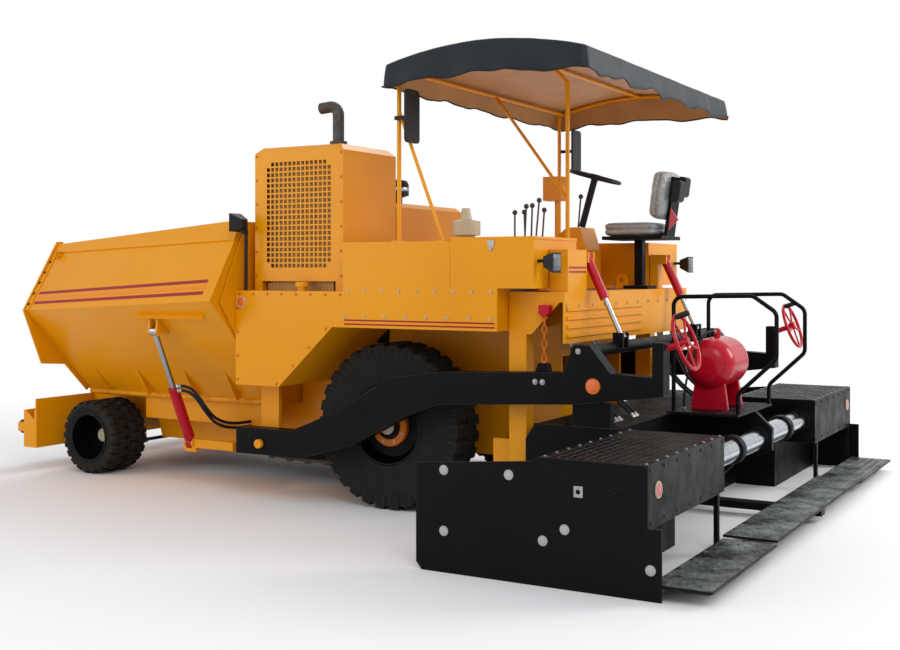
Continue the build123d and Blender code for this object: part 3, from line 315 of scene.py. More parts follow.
def coatedCloth(name, colour, second):
    # woven canopy cloth with a vinyl coat: soft sheen, threads drawn coarser than real so that they show
    made = Finish(name, 0.5, specular=0.25)
    made.shader.inputs["Sheen Weight"].default_value = 0.06
    tone = made.mix(made.noise(180.0, 4.0), colour, second)
    weave = made.out("ShaderNodeTexWave",
                     {"Vector": made.point, "Scale": 26.0, "Distortion": 0.6, "Detail": 1.0}, "Fac",
                     wave_type="BANDS", bands_direction="DIAGONAL")
    height = maths(made.tree, "MULTIPLY_ADD", weave, 0.12, made.noise(130.0, 4.0, 0.6))
    return made.done(tone, relief=(height, 5.0, 0.5))


def seatFilm(name):
    # silver-grey seat vinyl still in its clear film: glossy, finely crumpled
    made = Finish(name, 0.3, coat=0.4)
    crumple = made.noise(42.0, 5.0, 0.6)
    folds = made.out("ShaderNodeTexVoronoi", {"Vector": made.point, "Scale": 26.0}, "Distance",
                     feature="SMOOTH_F1")
    height = maths(made.tree, "MULTIPLY_ADD", folds, 0.5, crumple)
    return made.done(made.mix(crumple, "#6f7272", "#a5a7a4"), relief=(height, 6.0, 0.6))


def mouldedLens(name, colour):
    # moulded transparent plastic over a bright reflector: glossy, with a fine prism pattern drawn at 5 mm
    made = Finish(name, 0.12, coat=0.5)
    prisms = made.out("ShaderNodeTexVoronoi", {"Vector": made.point, "Scale": 200.0}, "Distance",
                      feature="F1")
    return made.done(made.mix(prisms, colour, grey(0.02), "SCREEN"), relief=(prisms, 1.5, 0.5))


def brassCore(name):
    # finned copper-brass radiator core behind the guard: thin upright tubes drawn at 12 mm
    made = Finish(name, 0.4, metallic=0.6)
    fins = made.out("ShaderNodeTexWave", {"Vector": made.point, "Scale": 26.0, "Distortion": 0.3}, "Fac",
                    wave_type="BANDS", bands_direction="X")
    return made.done(made.mix(fins, "#6d4a26", "#c99a58"), relief=(fins, 3.0, 0.6))


def ironCasting(name):
    # painted engine casting: rough sand-cast skin, oil-dark
    made = Finish(name, 0.62)
    tone = made.mix(made.noise(90.0, 5.0), "#2a2c2e", "#4a4b4c")
    return made.done(tone, relief=(made.noise(7.0, 5.0), 1.0, 0.6))


paints = {
    "yellow": enamel("orange-yellow gloss enamel", "#ea9e05", "#e08d04"),
    # orange: the yellow enamel darkened to orange, painted shade for bolts, hubs and fittings on faces that
    # lie in shade
    "orange": enamel("yellow enamel darkened as painted shade", "#d8730c", "#c96609"),
    "red": enamel("crimson gloss enamel", "#c30c26", "#a60a20", 0.22, 0.12),
    "black": blackEnamel("satin black enamel"),
    "rubber": tyreRubber("moulded tyre rubber"),
    "wornSteel": bareSteel("worn rolled steel", "#5d5a57", "#35322f", 0.5, rust=0.5),
    "brightSteel": bareSteel("zinc-plated steel", "#b9b7b2", "#8e8b86", 0.35, millimetres=30.0),
    "chrome": hardChrome("ground hard chrome"),
    "plastic": mouldedPlastic("moulded black plastic", "#141416"),
    "canopy": coatedCloth("coated canopy cloth", "#0c141a", "#172129"),
    "seatVinyl": coatedCloth("grained seat vinyl", "#8f9294", "#7c8083"),
    "brass": brassCore("finned brass core"),
    "iron": ironCasting("painted engine casting"),
    "cream": enamel("cream enamel", "#c9bfa2", "#b5ab90", 0.35),
    "lining": coatedCloth("tan lining cloth", "#c49a66", "#ab8150"),
    "piping": mouldedPlastic("extruded vinyl piping", "#0d1118", 0.45),
    "seatWrap": seatFilm("film-wrapped seat vinyl"),
    "stripeRed": enamel("crimson vinyl film", "#a5121f", "#8e0f1a", 0.35, 0.2),
    "stripeOrange": enamel("orange vinyl film", "#f08a1c", "#e67f12", 0.35, 0.2),
    "lensAmber": mouldedLens("moulded amber acrylic", "#e8650e"),
    "lensRed": mouldedLens("moulded red acrylic", "#c01222"),
    "paleCap": enamel("pale cap enamel", "#b9bab4", "#9d9e99", 0.4),
    "treadBlack": blackEnamel("black enamel on tread plate", "#9b9d9c"),
    "treadWorn": wornEnamel("worn enamel on tread plate"),
    "hoseRubber": mouldedPlastic("braided hose rubber", "#0c0c0d", 0.6, 2.2),
    "lampGlass": mouldedLens("pressed lamp glass", "#4a5054"),
}

slotPaints = {
    "yellow_paint": "yellow", "black_paint": "black", "red_paint": "red", "tyre_rubber": "rubber",
    "worn_steel": "wornSteel", "hard_chrome": "chrome", "engine_iron": "iron", "core_brass": "brass",
    "canopy_vinyl": "canopy", "seat_vinyl": "seatVinyl", "black_plastic": "plastic", "filter_steel": "cream",
}
for part in frame["record"]["subparts"]:
    mesh = cadNodes[part["node"]].data
    mesh.materials.clear()
    mesh.materials.append(paints[slotPaints[part["material_slot"]]])
print("materials laid on", len(cadNodes), "nodes")


# places and small mesh helpers

def middle(box, axis):
    return (box[0][axis] + box[1][axis]) / 2


rearAxleX = middle(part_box("rear_tyre_left"), 0)


def place(x, y, z):
    # millimetres from the ground point under the rear axle to the frame's metres
    return Vector((rearAxleX + x / 1000, y / 1000, z / 1000))


def linkPiece(name, mesh, paintNames=()):
    for paintName in paintNames:
        mesh.materials.append(paints[paintName])
    piece = bpy.data.objects.new(name, mesh)
    scene.collection.objects.link(piece)
    return piece


def settle(piece, body, slot, *stoodFor):
    if stoodFor:
        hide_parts(*stoodFor)
    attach(piece, body)
    return piece


@contextmanager
def editing(mesh):
    shape = bmesh.new()
    shape.from_mesh(mesh)
    yield shape
    shape.to_mesh(mesh)
    shape.free()


def closeUp(shape):
    # joins doubled corners and turns every face outwards
    bmesh.ops.remove_doubles(shape, verts=shape.verts, dist=0.00002)
    bmesh.ops.recalc_face_normals(shape, faces=shape.faces)


def meshFrom(name, vertices, faces, smooth=True):
    mesh = bpy.data.meshes.new(name)
    mesh.from_pydata([tuple(v) for v in vertices], [], faces)
    with editing(mesh) as shape:
        closeUp(shape)
        for face in shape.faces:
            face.smooth = smooth
    return mesh


def evaluatedMesh(piece):
    depsgraph = bpy.context.evaluated_depsgraph_get()
    return bpy.data.meshes.new_from_object(piece.evaluated_get(depsgraph), depsgraph=depsgraph)


def applyModifiers(piece):
    mesh = evaluatedMesh(piece)
    piece.modifiers.clear()
    piece.data = mesh
    return piece


def meshOfCurve(curve):
    holder = bpy.data.objects.new(curve.name, curve)
    scene.collection.objects.link(holder)
    mesh = evaluatedMesh(holder)
    bpy.data.objects.remove(holder)
    return mesh


def softened(piece):
    soft = piece.modifiers.new("soft", "SUBSURF")
    soft.levels = soft.render_levels = 1
    return applyModifiers(piece)


def turned(name, profile, centre, axis, segments=48, sharpDegrees=35.0):
    # closed (radius, height) profile turned about an axis, its sharper edges kept crisp
    axis = Vector(axis).normalized()
    side = axis.orthogonal().normalized()
    other = axis.cross(side)
    vertices, faces = [], []
    count = len(profile)
    for i in range(segments):
        turn = 2 * math.pi * i / segments
        ray = side * math.cos(turn) + other * math.sin(turn)
        vertices += [centre + ray * radius / 1000 + axis * height / 1000 for radius, height in profile]
        here, there = i * count, (i + 1) % segments * count
        for k in range(count):
            after = (k + 1) % count
            faces.append((here + k, there + k, there + after, here + after))
    mesh = meshFrom(name, vertices, faces)
    with editing(mesh) as shape:
        for edge in shape.edges:
            flat = edge.calc_face_angle(0.0) < math.radians(sharpDegrees)
            edge.smooth = len(edge.link_faces) == 2 and flat
    return mesh


def turnedPiece(name, profile, centre, axis, paintName, body, slot, segments=48):
    return settle(linkPiece(name, turned(name, profile, centre, axis, segments), (paintName,)), body, slot)


def bandMesh(name, outline, facing, thickness):
    # flat outline (points) given a thickness in millimetres towards facing
    count = len(outline)
    lift = Vector(facing).normalized() * thickness / 1000
    vertices = [Vector(p) for p in outline] + [Vector(p) + lift for p in outline]
    faces = [tuple(range(count)), tuple(range(2 * count - 1, count - 1, -1))]
    faces += [(i, (i + 1) % count, count + (i + 1) % count, count + i) for i in range(count)]
    return meshFrom(name, vertices, faces, smooth=False)


def bandPiece(name, outline, facing, thickness, paintName, body, slot):
    return settle(linkPiece(name, bandMesh(name, outline, facing, thickness), (paintName,)), body, slot)


# repeats made by Geometry Nodes

socketKinds = {float: "Float", int: "Int", tuple: "Vector"}


def newTree(name, sizes):
    # sizes: the tree's inputs and the values that they start from
    group = bpy.data.node_groups.new(name, "GeometryNodeTree")
    group.interface.new_socket("Spots", in_out="INPUT", socket_type="NodeSocketGeometry")
    for label, value in sizes.items():
        kind = "NodeSocket" + socketKinds[type(value)]
        group.interface.new_socket(label, in_out="INPUT", socket_type=kind).default_value = value
    group.interface.new_socket("Finish", in_out="INPUT", socket_type="NodeSocketMaterial")
    group.interface.new_socket("Geometry", in_out="OUTPUT", socket_type="NodeSocketGeometry")
    return group, addNode(group, "NodeGroupInput").outputs


def closeTree(group, given, points, instance, rotation, **more):
    # stands the instance on the points and gives the whole its finish
    stood = nodeOut(group, "GeometryNodeInstanceOnPoints",
                    {"Points": points, "Instance": instance, "Rotation": rotation, **more})
    real = nodeOut(group, "GeometryNodeRealizeInstances", {0: stood})
    coloured = nodeOut(group, "GeometryNodeSetMaterial", {"Geometry": real, "Material": given["Finish"]})
    addNode(group, "NodeGroupOutput", {"Geometry": coloured})
    return group


def runTree(name, group, spots, facings, values, paintName):
    # spots carry the direction that each repeat faces; the result is a plain mesh
    mesh = bpy.data.meshes.new(name)
    mesh.from_pydata([tuple(p) for p in spots], [], [])
    facing = mesh.attributes.new("facing", "FLOAT_VECTOR", "POINT")
    for i, direction in enumerate(facings):
        facing.data[i].vector = direction
    piece = linkPiece(name, mesh)
    modifier = piece.modifiers.new(name, "NODES")
    modifier.node_group = group
    values = dict(values, Finish=paints[paintName])
    for item in group.interface.items_tree:
        if item.item_type == "SOCKET" and item.in_out == "INPUT" and item.name in values:
            modifier[item.identifier] = values[item.name]
    applyModifiers(piece)
    if not piece.data.materials:
        piece.data.materials.append(paints[paintName])
    return piece


boltParts = {"Washer Radius": 0.014, "Washer Height": 0.003, "Head Radius": 0.01, "Head Height": 0.007,
             "Dome Height": 0.002, "Sides": 6}
boltSizes = {name: dict(zip(boltParts, sizes)) for name, sizes in {
    "small": (0.010, 0.002, 0.0075, 0.005, 0.0012, 6),
    "medium": (0.017, 0.003, 0.0125, 0.009, 0.002, 6),
    "cap": (0.026, 0.002, 0.021, 0.005, 0.0045, 24),
}.items()}


def makeBoltTree():
    # washer, many-sided head and low dome, stood on each spot
    group, given = newTree("boltHeads", boltParts)

    def disc(label, corners):
        radius = given[label + " Radius"]
        return nodeOut(group, "GeometryNodeMeshCone", {
            "Vertices": corners, "Radius Top": radius, "Radius Bottom": radius,
            "Depth": given[label + " Height"]})

    washer, head = disc("Washer", 20), disc("Head", given["Sides"])
    wide = maths(group, "MULTIPLY", given["Head Radius"], 0.82)
    size = nodeOut(group, "ShaderNodeCombineXYZ", {0: wide, 1: wide, 2: given["Dome Height"]})
    top = nodeOut(group, "ShaderNodeCombineXYZ", {2: given["Head Height"]})
    ball = nodeOut(group, "GeometryNodeMeshUVSphere", {"Segments": 16, "Rings": 8, "Radius": 1.0})
    dome = nodeOut(group, "GeometryNodeTransform", {0: ball, "Translation": top, "Scale": size})
    bolt = addNode(group, "GeometryNodeJoinGeometry")
    for part in (washer, head, dome):
        group.links.new(part, bolt.inputs[0])
    facing = nodeOut(group, "GeometryNodeInputNamedAttribute", {"Name": "facing"}, "Attribute",
                     data_type="FLOAT_VECTOR")
    turn = nodeOut(group, "FunctionNodeAlignRotationToVector", {"Vector": facing}, axis="Z")
    return closeTree(group, given, given["Spots"], bolt.outputs[0], turn)


def makeTreadTree():
    # raised lozenges of rolled tread plate, turned one way and the other by turns
    group, given = newTree("treadPlate", {
        "Length": 1.0, "Width": 0.5, "Along": 10, "Across": 5, "Centre": (0.0, 0.0, 0.0),
        "Lozenge": (0.014, 0.0045, 0.003)})
    grid = nodeOut(group, "GeometryNodeMeshGrid", {
        "Size X": given["Length"], "Size Y": given["Width"],
        "Vertices X": given["Along"], "Vertices Y": given["Across"]}, "Mesh")
    spread = nodeOut(group, "GeometryNodeTransform", {0: grid, "Translation": given["Centre"]})
    number = nodeOut(group, "GeometryNodeInputIndex")
    line = maths(group, "FLOOR", maths(group, "DIVIDE", number, given["Across"]))
    column = maths(group, "MODULO", number, given["Across"])
    odd = maths(group, "MODULO", maths(group, "ADD", line, column), 2.0)
    angle = maths(group, "MULTIPLY_ADD", odd, math.pi / 2, math.pi / 4)
    turn = nodeOut(group, "ShaderNodeCombineXYZ", {2: angle})
    bead = nodeOut(group, "GeometryNodeMeshIcoSphere", {"Radius": 1.0, "Subdivisions": 1})
    return closeTree(group, given, spread, bead, turn, Scale=given["Lozenge"])


def makeChainTree():
    # welded links on a line of spots, each turned a quarter against the last
    group, given = newTree("chainLinks", {"Link Radius": 0.015, "Link Stretch": 1.9, "Wire Radius": 0.005})

    def circle(corners, label):
        sizes = {"Resolution": corners, "Radius": given[label]}
        return nodeOut(group, "GeometryNodeCurvePrimitiveCircle", sizes)

    tall = nodeOut(group, "ShaderNodeCombineXYZ", {0: 1.0, 1: given["Link Stretch"], 2: 1.0})
    oval = nodeOut(group, "GeometryNodeTransform", {
        0: circle(18, "Link Radius"), "Rotation": (math.pi / 2, 0, 0), "Scale": tall})
    link = nodeOut(group, "GeometryNodeCurveToMesh", {0: oval, 1: circle(8, "Wire Radius")})
    number = nodeOut(group, "GeometryNodeInputIndex")
    angle = maths(group, "MULTIPLY_ADD", number, math.pi / 2, 0.35)
    turn = nodeOut(group, "ShaderNodeCombineXYZ", {2: angle})
    return closeTree(group, given, given["Spots"], link, turn)


boltTree, treadTree, chainTree = makeBoltTree(), makeTreadTree(), makeChainTree()


def row(first, last, count):
    a, b = place(*first), place(*last)
    return [a.lerp(b, i / max(count - 1, 1)) for i in range(count)]


def spotsAt(y, *points):
    return [place(x, y, z) for x, z in points]


def bolts(name, body, slot, paintName, size, spots, facing):
    piece = runTree(name, boltTree, spots, [facing] * len(spots), boltSizes[size], paintName)
    return settle(piece, body, slot)


print("repeating trees ready")


# canopy cloth

canopyPlan = {
    "rear": -1521.0, "front": -168.0, "halfWidth": 1314.0,
    "edgeHeight": 2840.0, "rise": 95.0, "low": 2691.0,
    "sag": 26.0, "flare": 26.0, "ripple": 13.0, "cloth": 3.0,
    "alongCount": 44, "acrossCount": 84, "dropCount": 9,
    "hemRadius": 0.0055, "hemSides": 8,
    "onFrame": 3, "creases": ((210, 95, 0.3, 7), (60, 240, 4.1, 4)),  # reach along and across, seed, height
    "sideShare": 0.97, "creaseFade": 9, "hollow": 0.6,
    "waveStep": 0.42, "hemWave": 17, "hemDrop": 6, "hemFollow": 0.35, "flareShare": 0.7,
}


def canopyTop(plan, x, y):
    # arched roof that sinks a little between the frame's tubes, with drawn creases
    share = (x - plan["rear"]) / (plan["front"] - plan["rear"])
    aside = abs(y) / plan["halfWidth"]
    arch = 4 * share * (1 - share)
    sink = plan["sag"] * math.sin(2 * math.pi * share) ** 2 * max(0.0, 1 - aside ** 8)
    edge = min(share, 1 - share, (1 - aside) * plan["sideShare"])
    creased = sum(noise.noise(Vector((x / along, y / across, seed))) * height
                  for along, across, seed, height in plan["creases"])
    smooth = plan["edgeHeight"] + plan["rise"] * arch - plan["onFrame"] - sink
    return smooth + creased * min(1.0, edge * plan["creaseFade"]) - abs(creased) * plan["hollow"]


def valanceWave(run):
    # how far the hanging edge swings out and down on its run round the roof
    swing = math.sin(run * 0.9 + 2 * noise.noise(Vector((run * 0.2, 3.0, 0.0))))
    return noise.noise(Vector((run * 0.55, 0.0, 1.7))) + 0.6 * swing


def makeCanopy(plan):
    across, along, drop = plan["acrossCount"], plan["alongCount"], plan["dropCount"]
    grid = []
    for i in range(along + 1):
        x = plan["rear"] + (plan["front"] - plan["rear"]) * i / along
        line = []
        for k in range(across + 1):
            y = -plan["halfWidth"] + 2 * plan["halfWidth"] * k / across
            line.append((x, y, canopyTop(plan, x, y)))
        grid.append(line)
    vertices = [place(*point) for line in grid for point in line]

    def number(i, k):
        return i * (across + 1) + k

    faces = [(number(i, k), number(i + 1, k), number(i + 1, k + 1), number(i, k + 1))
             for i in range(along) for k in range(across)]
    loop = [(i, 0) for i in range(along)] + [(along, k) for k in range(across)]
    loop += [(i, across) for i in range(along, 0, -1)] + [(0, k) for k in range(across, 0, -1)]
    upper = [number(*key) for key in loop]
    for level in range(1, drop + 1):
        share = level / drop
        lower = []
        for count, (i, k) in enumerate(loop):
            x, y, z = grid[i][k]
            outward = Vector(((i == along) - (i == 0), (k == across) - (k == 0), 0)).normalized()
            wave = valanceWave(count * plan["waveStep"])
            flare = plan["flare"] * math.sin(share * math.pi / 2) * plan["flareShare"]
            out = flare + plan["ripple"] * wave * share
            follow = plan["hemFollow"] * (z - plan["edgeHeight"])
            hem = plan["low"] + follow + plan["hemWave"] * wave + plan["hemDrop"]
            lower.append(len(vertices))
            vertices.append(place(*(Vector((x, y, z + (hem - z) * share)) + outward * out)))
        for n in range(len(loop)):
            m = (n + 1) % len(loop)
            faces.append((upper[n], upper[m], lower[m], lower[n]))
        upper = lower
    mesh = bpy.data.meshes.new("canopySheet")
    mesh.from_pydata([tuple(v) for v in vertices], [], faces)
    hemLine = [vertices[n].copy() for n in upper]
    piece = linkPiece("canopySheet", mesh, ("canopy", "lining"))
    with editing(mesh) as shape:
        bmesh.ops.recalc_face_normals(shape, faces=shape.faces)
        shape.faces.ensure_lookup_table()
        if shape.faces[0].normal.z < 0:
            bmesh.ops.reverse_faces(shape, faces=shape.faces)
        for face in shape.faces:
            face.smooth = True
        area = sum(face.calc_area() for face in shape.faces)
    wall = piece.modifiers.new("thickness", "SOLIDIFY")
    wall.thickness = plan["cloth"] / 1000
    wall.offset = -1.0
    wall.material_offset = 1
    wall.material_offset_rim = 0
    return softened(piece), hemLine, area


def makeHem(plan, hemLine):
    # rolled edge sewn round the lower edge of the valance
    sideCount, count = plan["hemSides"], len(hemLine)
    vertices, faces = [], []
    for n in range(count):
        ahead = (hemLine[(n + 1) % count] - hemLine[n - 1]).normalized()
        side = ahead.cross(Vector((0, 0, 1))).normalized()
        up = side.cross(ahead)
        here, there = n * sideCount, (n + 1) % count * sideCount
        for s in range(sideCount):
            turn, after = 2 * math.pi * s / sideCount, (s + 1) % sideCount
            vertices.append(hemLine[n] + (side * math.cos(turn) + up * math.sin(turn)) * plan["hemRadius"])
            faces.append((here + s, here + after, there + after, there + s))
    return linkPiece("canopyHem", meshFrom("canopyHem", vertices, faces), ("piping",))


canopySheet, canopyHemLine, canopyArea = makeCanopy(canopyPlan)
canopyHem = makeHem(canopyPlan, canopyHemLine)
settle(canopySheet, "tractor", "canopy_vinyl", "canopy_cover")
settle(canopyHem, "tractor", "canopy_vinyl")
print("canopy cloth made, area", round(canopyArea, 3))


# seat cushions

seatPlan = {
    "base": {"centre": (-1150.0, -450.0, 1843.0), "size": (418.0, 428.0, 84.0), "lean": 0.0, "crown": 0.30},
    "back": {"centre": (-1361.9, -450.0, 2078.0), "size": (92.0, 428.0, 360.0), "lean": -8.0, "crown": 0.34},
    "cuts": 15, "corner": 0.30, "drawn": 0.035, "seam": 0.05, "grow": 1.02,
    "voxel": 0.006, "pressure": 4.0, "steps": 20, "swell": 0.009,
}


def cushionForm(name, plan, thinAxis, whole):
    # crowned closed form: thin towards its edges, its outline drawn in between the corners
    shape = bmesh.new()
    bmesh.ops.create_cube(shape, size=2.0)
    bmesh.ops.subdivide_edges(shape, edges=shape.edges, cuts=whole["cuts"], use_grid_fill=True)
    first, second = [axis for axis in range(3) if axis != thinAxis]
    half = [size / 2000 for size in plan["size"]]

    def across(here, other, reach, seam):
        bow = math.sqrt(max(0.0, 1 - whole["corner"] * other * other))
        draw = whole["drawn"] * (1 - other * other) * abs(here) ** 3
        return here * reach * (bow - draw) * seam * whole["grow"]

    for vertex in shape.verts:
        u, v, w = vertex.co[first], vertex.co[second], vertex.co[thinAxis]
        seam = 1 - whole["seam"] * (abs(w) < 0.15)
        vertex.co[first] = across(u, v, half[first], seam)
        vertex.co[second] = across(v, u, half[second], seam)
        vertex.co[thinAxis] = w * half[thinAxis] * (1 - plan["crown"] * max(abs(u), abs(v)) ** 4)
    mesh = bpy.data.meshes.new(name)
    shape.to_mesh(mesh)
    shape.free()
    lean = math.radians(plan["lean"])
    mesh.transform(Matrix.Translation(place(*plan["centre"])) @ Matrix.Rotation(lean, 4, "Y"))
    return linkPiece(name, mesh, ("seatWrap",))


def puffUp(piece, plan):
    # air pressure in a cloth skin gives the swell and the small creases; movement is capped
    even = piece.modifiers.new("even", "REMESH")
    even.mode = "VOXEL"
    even.voxel_size = plan["voxel"]
    applyModifiers(piece)
    before = [vertex.co.copy() for vertex in piece.data.vertices]
    settings = piece.modifiers.new("cloth", "CLOTH").settings
    settings.quality = 5
    settings.use_pressure = True
    settings.uniform_pressure_force = plan["pressure"]
    settings.effector_weights.gravity = 0.0
    for step in range(1, plan["steps"] + 1):
        scene.frame_set(step)
    depsgraph = bpy.context.evaluated_depsgraph_get()
    blown = [vertex.co.copy() for vertex in piece.evaluated_get(depsgraph).data.vertices]
    piece.modifiers.clear()
    for vertex, first, last in zip(piece.data.vertices, before, blown):
        move = last - first
        if move.length > plan["swell"]:
            move *= plan["swell"] / move.length
        vertex.co = first + move
    scene.frame_set(1)


def makeCushion(name, plan, thinAxis, whole):
    piece = cushionForm(name, plan, thinAxis, whole)
    puffUp(piece, whole)
    softened(piece)
    for face in piece.data.polygons:
        face.use_smooth = True
    return piece


seatBase = makeCushion("seatBaseCushion", seatPlan["base"], 2, seatPlan)
seatBack = makeCushion("seatBackCushion", seatPlan["back"], 0, seatPlan)
settle(seatBase, "tractor", "seat_vinyl", "seat_cushions")
settle(seatBack, "tractor", "seat_vinyl", "seat_cushions")
print("seat cushions made")


# wheel hubs and caps

hubPlan = {
    "rearAxle": (0.0, 0.0, 542.5), "frontAxle": (2744.0, 0.0, 280.0),
    "flange": [(87.5, 1011.5), (127, 1011.5), (133, 1005), (133, 973), (120, 973), (118, 1000), (87.5, 1000)],
    "rearCap": [(0, 1024), (52, 1024), (52, 1036), (46, 1043), (20, 1046), (0, 1046.5)],
    "frontCap": [(0, 824), (52, 824), (52, 841), (46, 849), (20, 852), (0, 852.5)],
    "flangeBolts": 8, "flangeBoltRadius": 106.0, "flangeFace": 1010.5,
}

for side, word in sides:
    axis, wheel = (0, side, 0), "rear_wheel_" + word
    rearAxle, frontAxle = place(*hubPlan["rearAxle"]), place(*hubPlan["frontAxle"])
    # the flange is yellow paint; the orange copy gives it painted shade
    turnedPiece("hubFlange_" + word, hubPlan["flange"], rearAxle, axis, "orange", wheel, "yellow_paint")
    turnedPiece("rearCap_" + word, hubPlan["rearCap"], rearAxle, axis, "cream", wheel, "filter_steel")
    turnedPiece("frontCap_" + word, hubPlan["frontCap"], frontAxle, axis, "cream", "front_wheel_" + word,
                "filter_steel")
    spots = []
    for i in range(hubPlan["flangeBolts"]):
        turn, r = 2 * math.pi * (i + 0.5) / hubPlan["flangeBolts"], hubPlan["flangeBoltRadius"]
        height = hubPlan["rearAxle"][2] + r * math.sin(turn)
        spots.append(place(r * math.cos(turn), side * hubPlan["flangeFace"], height))
    bolts("flangeBolts_" + word, wheel, "worn_steel", "brightSteel", "small", spots, axis)
print("hubs dressed")


# stripes and reflectors

stripePlan = {
    "wingLines": ((0.085, 0.125, "stripeRed"), (0.155, 0.20, "stripeOrange"), (0.23, 0.27, "stripeRed")),
    "wingReach": (1190.0, 2880.0), "wingSteps": 8, "lift": 0.8, "film": 0.5,
    "tankLines": ((1207, 1217), (1232, 1242)), "tankReach": (186, -905), "tankFace": 1250.3,
    "deckLines": ((1540, 1552), (1566, 1578)), "deckReach": (785, 1035), "deckFace": -1290.3,
}
wingPlan = {
    # x of both ends, and (y, z) of the fold and of the upper edge at each end
    "front": 2950.0, "rear": 1100.0,
    "fold": ((1420.0, 1260.0), (1490.0, 1353.0)), "top": ((1100.0, 1750.0), (1150.0, 1900.0)),
}


def upperPlate(x):
    # fold, upper edge and outward direction of a wing's upper plate at a station
    share = (wingPlan["front"] - x) / (wingPlan["front"] - wingPlan["rear"])
    fold, top = (Vector((x, *(a + (b - a) * share for a, b in zip(*wingPlan[edge]))))
                 for edge in ("fold", "top"))
    up = (top - fold).normalized()
    return fold, top, Vector((0, up.z, -up.y))


def wingSpot(x, share, lift=0.0, side=1):
    fold, top, out = upperPlate(x)
    point = fold.lerp(top, share) + out * lift
    return place(point.x, point.y * side, point.z)


def stripe(name, outline, facing, paintName="stripeRed", body="tractor"):
    bandPiece(name, outline, facing, stripePlan["film"], paintName, body, "red_paint")


def oblong(low, high, first, last):
    return (first, low), (first, high), (last, high), (last, low)


for side, word in sides:
    rearEnd, frontEnd = stripePlan["wingReach"]
    out, steps, lift = upperPlate(frontEnd)[2], stripePlan["wingSteps"], stripePlan["lift"]
    stations = [rearEnd + (frontEnd - rearEnd) * i / steps for i in range(steps + 1)]
    for n, (low, high, paintName) in enumerate(stripePlan["wingLines"]):
        outline = [wingSpot(x, low, lift, side) for x in stations]
        outline += [wingSpot(x, high, lift, side) for x in reversed(stations)]
        stripe("wingStripe_%s_%d" % (word, n), outline, (0, out.y * side, out.z), paintName, "wing_" + word)
    for n, line in enumerate(stripePlan["tankLines"]):
        outline = spotsAt(side * stripePlan["tankFace"], *oblong(*line, *stripePlan["tankReach"]))
        stripe("tankStripe_%s_%d" % (word, n), outline, (0, side, 0))
for n, line in enumerate(stripePlan["deckLines"]):
    outline = [place(stripePlan["deckFace"], y, z) for y, z in oblong(*line, *stripePlan["deckReach"])]
    stripe("deckStripe_%d" % n, outline, (-1, 0, 0))


def reflector(name, body, centre, axis, r, paintName, rimPaint="cream"):
    # moulded lens in a pressed rim, r its radius
    rim = [(r * 0.84, 0), (r, 0), (r, 5), (r * 0.93, 8), (r * 0.84, 7)]
    lens = [(0, 0), (r * 0.86, 0), (r * 0.86, 6), (r * 0.6, 8.5), (0, 9.5)]
    turnedPiece(name + "_rim", rim, centre, axis, rimPaint, body, "filter_steel", 32)
    turnedPiece(name, lens, centre, axis, paintName, body, "red_paint", 32)


for side, word in sides:
    out, extension = (0, side, 0), "extension_" + word
    reflector("tankReflector_" + word, "tractor", place(1030, side * 1250, 1345), out, 40, "lensAmber")
    reflector("armReflector_" + word, "screed", place(-1524, side * 1220, 890), out, 46, "lensAmber",
              "orange")
    reflector("rearReflector_" + word, extension, place(-2244, side * 2120, 505), (-1, 0, 0), 42, "lensRed")
print("stripes and reflectors laid")


# bolts

lipX = 2926.0
lipOut = upperPlate(lipX)[2]
boltTable = (
    # name, body, slot, paint, size, facing and spots on the left; a last underscore stands for both sides
    ("frontTankBolts_", "tractor", "yellow_paint", "orange", "small", (0, 1, 0),
     row((1045, 1250, 1398), (215, 1250, 1398), 8) + row((1060, 1250, 1300), (1060, 1250, 820), 4)
     + row((330, 1250, 1178), (730, 1250, 803), 4)),
    ("rearTankBolts_", "tractor", "worn_steel", "brightSteel", "small", (0, 1, 0),
     row((160, 1250, 1425), (-880, 1250, 1425), 9) + row((180, 1250, 1262), (-880, 1250, 1262), 8)),
    ("hoodBolts", "tractor", "yellow_paint", "orange", "small", (0, 1, 0),
     row((286, 1140, 1520), (286, 1140, 2330), 6) + row((984, 1140, 1520), (984, 1140, 2330), 6)),
    ("armBolts_", "screed", "worn_steel", "brightSteel", "medium", (0, 1, 0),
     spotsAt(1220, (-1432, 1088), (-1205, 900), (-1157, 900))),
    ("towPinCap_", "tractor", "yellow_paint", "orange", "cap", (0, 1, 0), spotsAt(1220, (895, 392))),
    ("wingLipBolts_", "wing_", "worn_steel", "black", "small", (0, lipOut.y, lipOut.z),
     [wingSpot(lipX, share, 10.0) for share in (0.08, 0.24, 0.40, 0.56, 0.72, 0.88)]),
    ("wingPinNut_", "wing_", "worn_steel", "brightSteel", "medium", (1, 0, 0), spotsAt(1368, (1743, 1132))),
    ("endPlateCaps_", "extension_", "filter_steel", "paleCap", "cap", (0, 1, 0),
     spotsAt(2253.6, (-1137, 528), (-1511, 534), (-1137, 215), (-1699, 226), (-1816, 293), (-2256, 148))),
    ("extensionLidBolts_", "extension_", "black_paint", "brightSteel", "small", (0, 0, 1),
     row((-2225, 1090, 637), (-2225, 2222, 637), 9) + row((-1696, 1090, 637), (-1696, 2222, 637), 9)),
    ("extensionRearBolts_", "extension_", "black_paint", "wornSteel", "small", (-1, 0, 0),
     row((-2244, 1095, 610), (-2244, 2215, 610), 7) + row((-2244, 1095, 360), (-2244, 2215, 360), 7)),
    ("rearPanelBolts", "tractor", "worn_steel", "brightSteel", "small", (-1, 0, 0),
     row((-1290, -1070, 1345), (-1290, 1070, 1345), 12)),
    ("beamBolts", "tractor", "yellow_paint", "orange", "medium", (1, 0, 0),
     [place(3330, y, z) for y in (-1060, -700, -340, 0, 340, 700, 1060) for z in (215, 435)]),
)
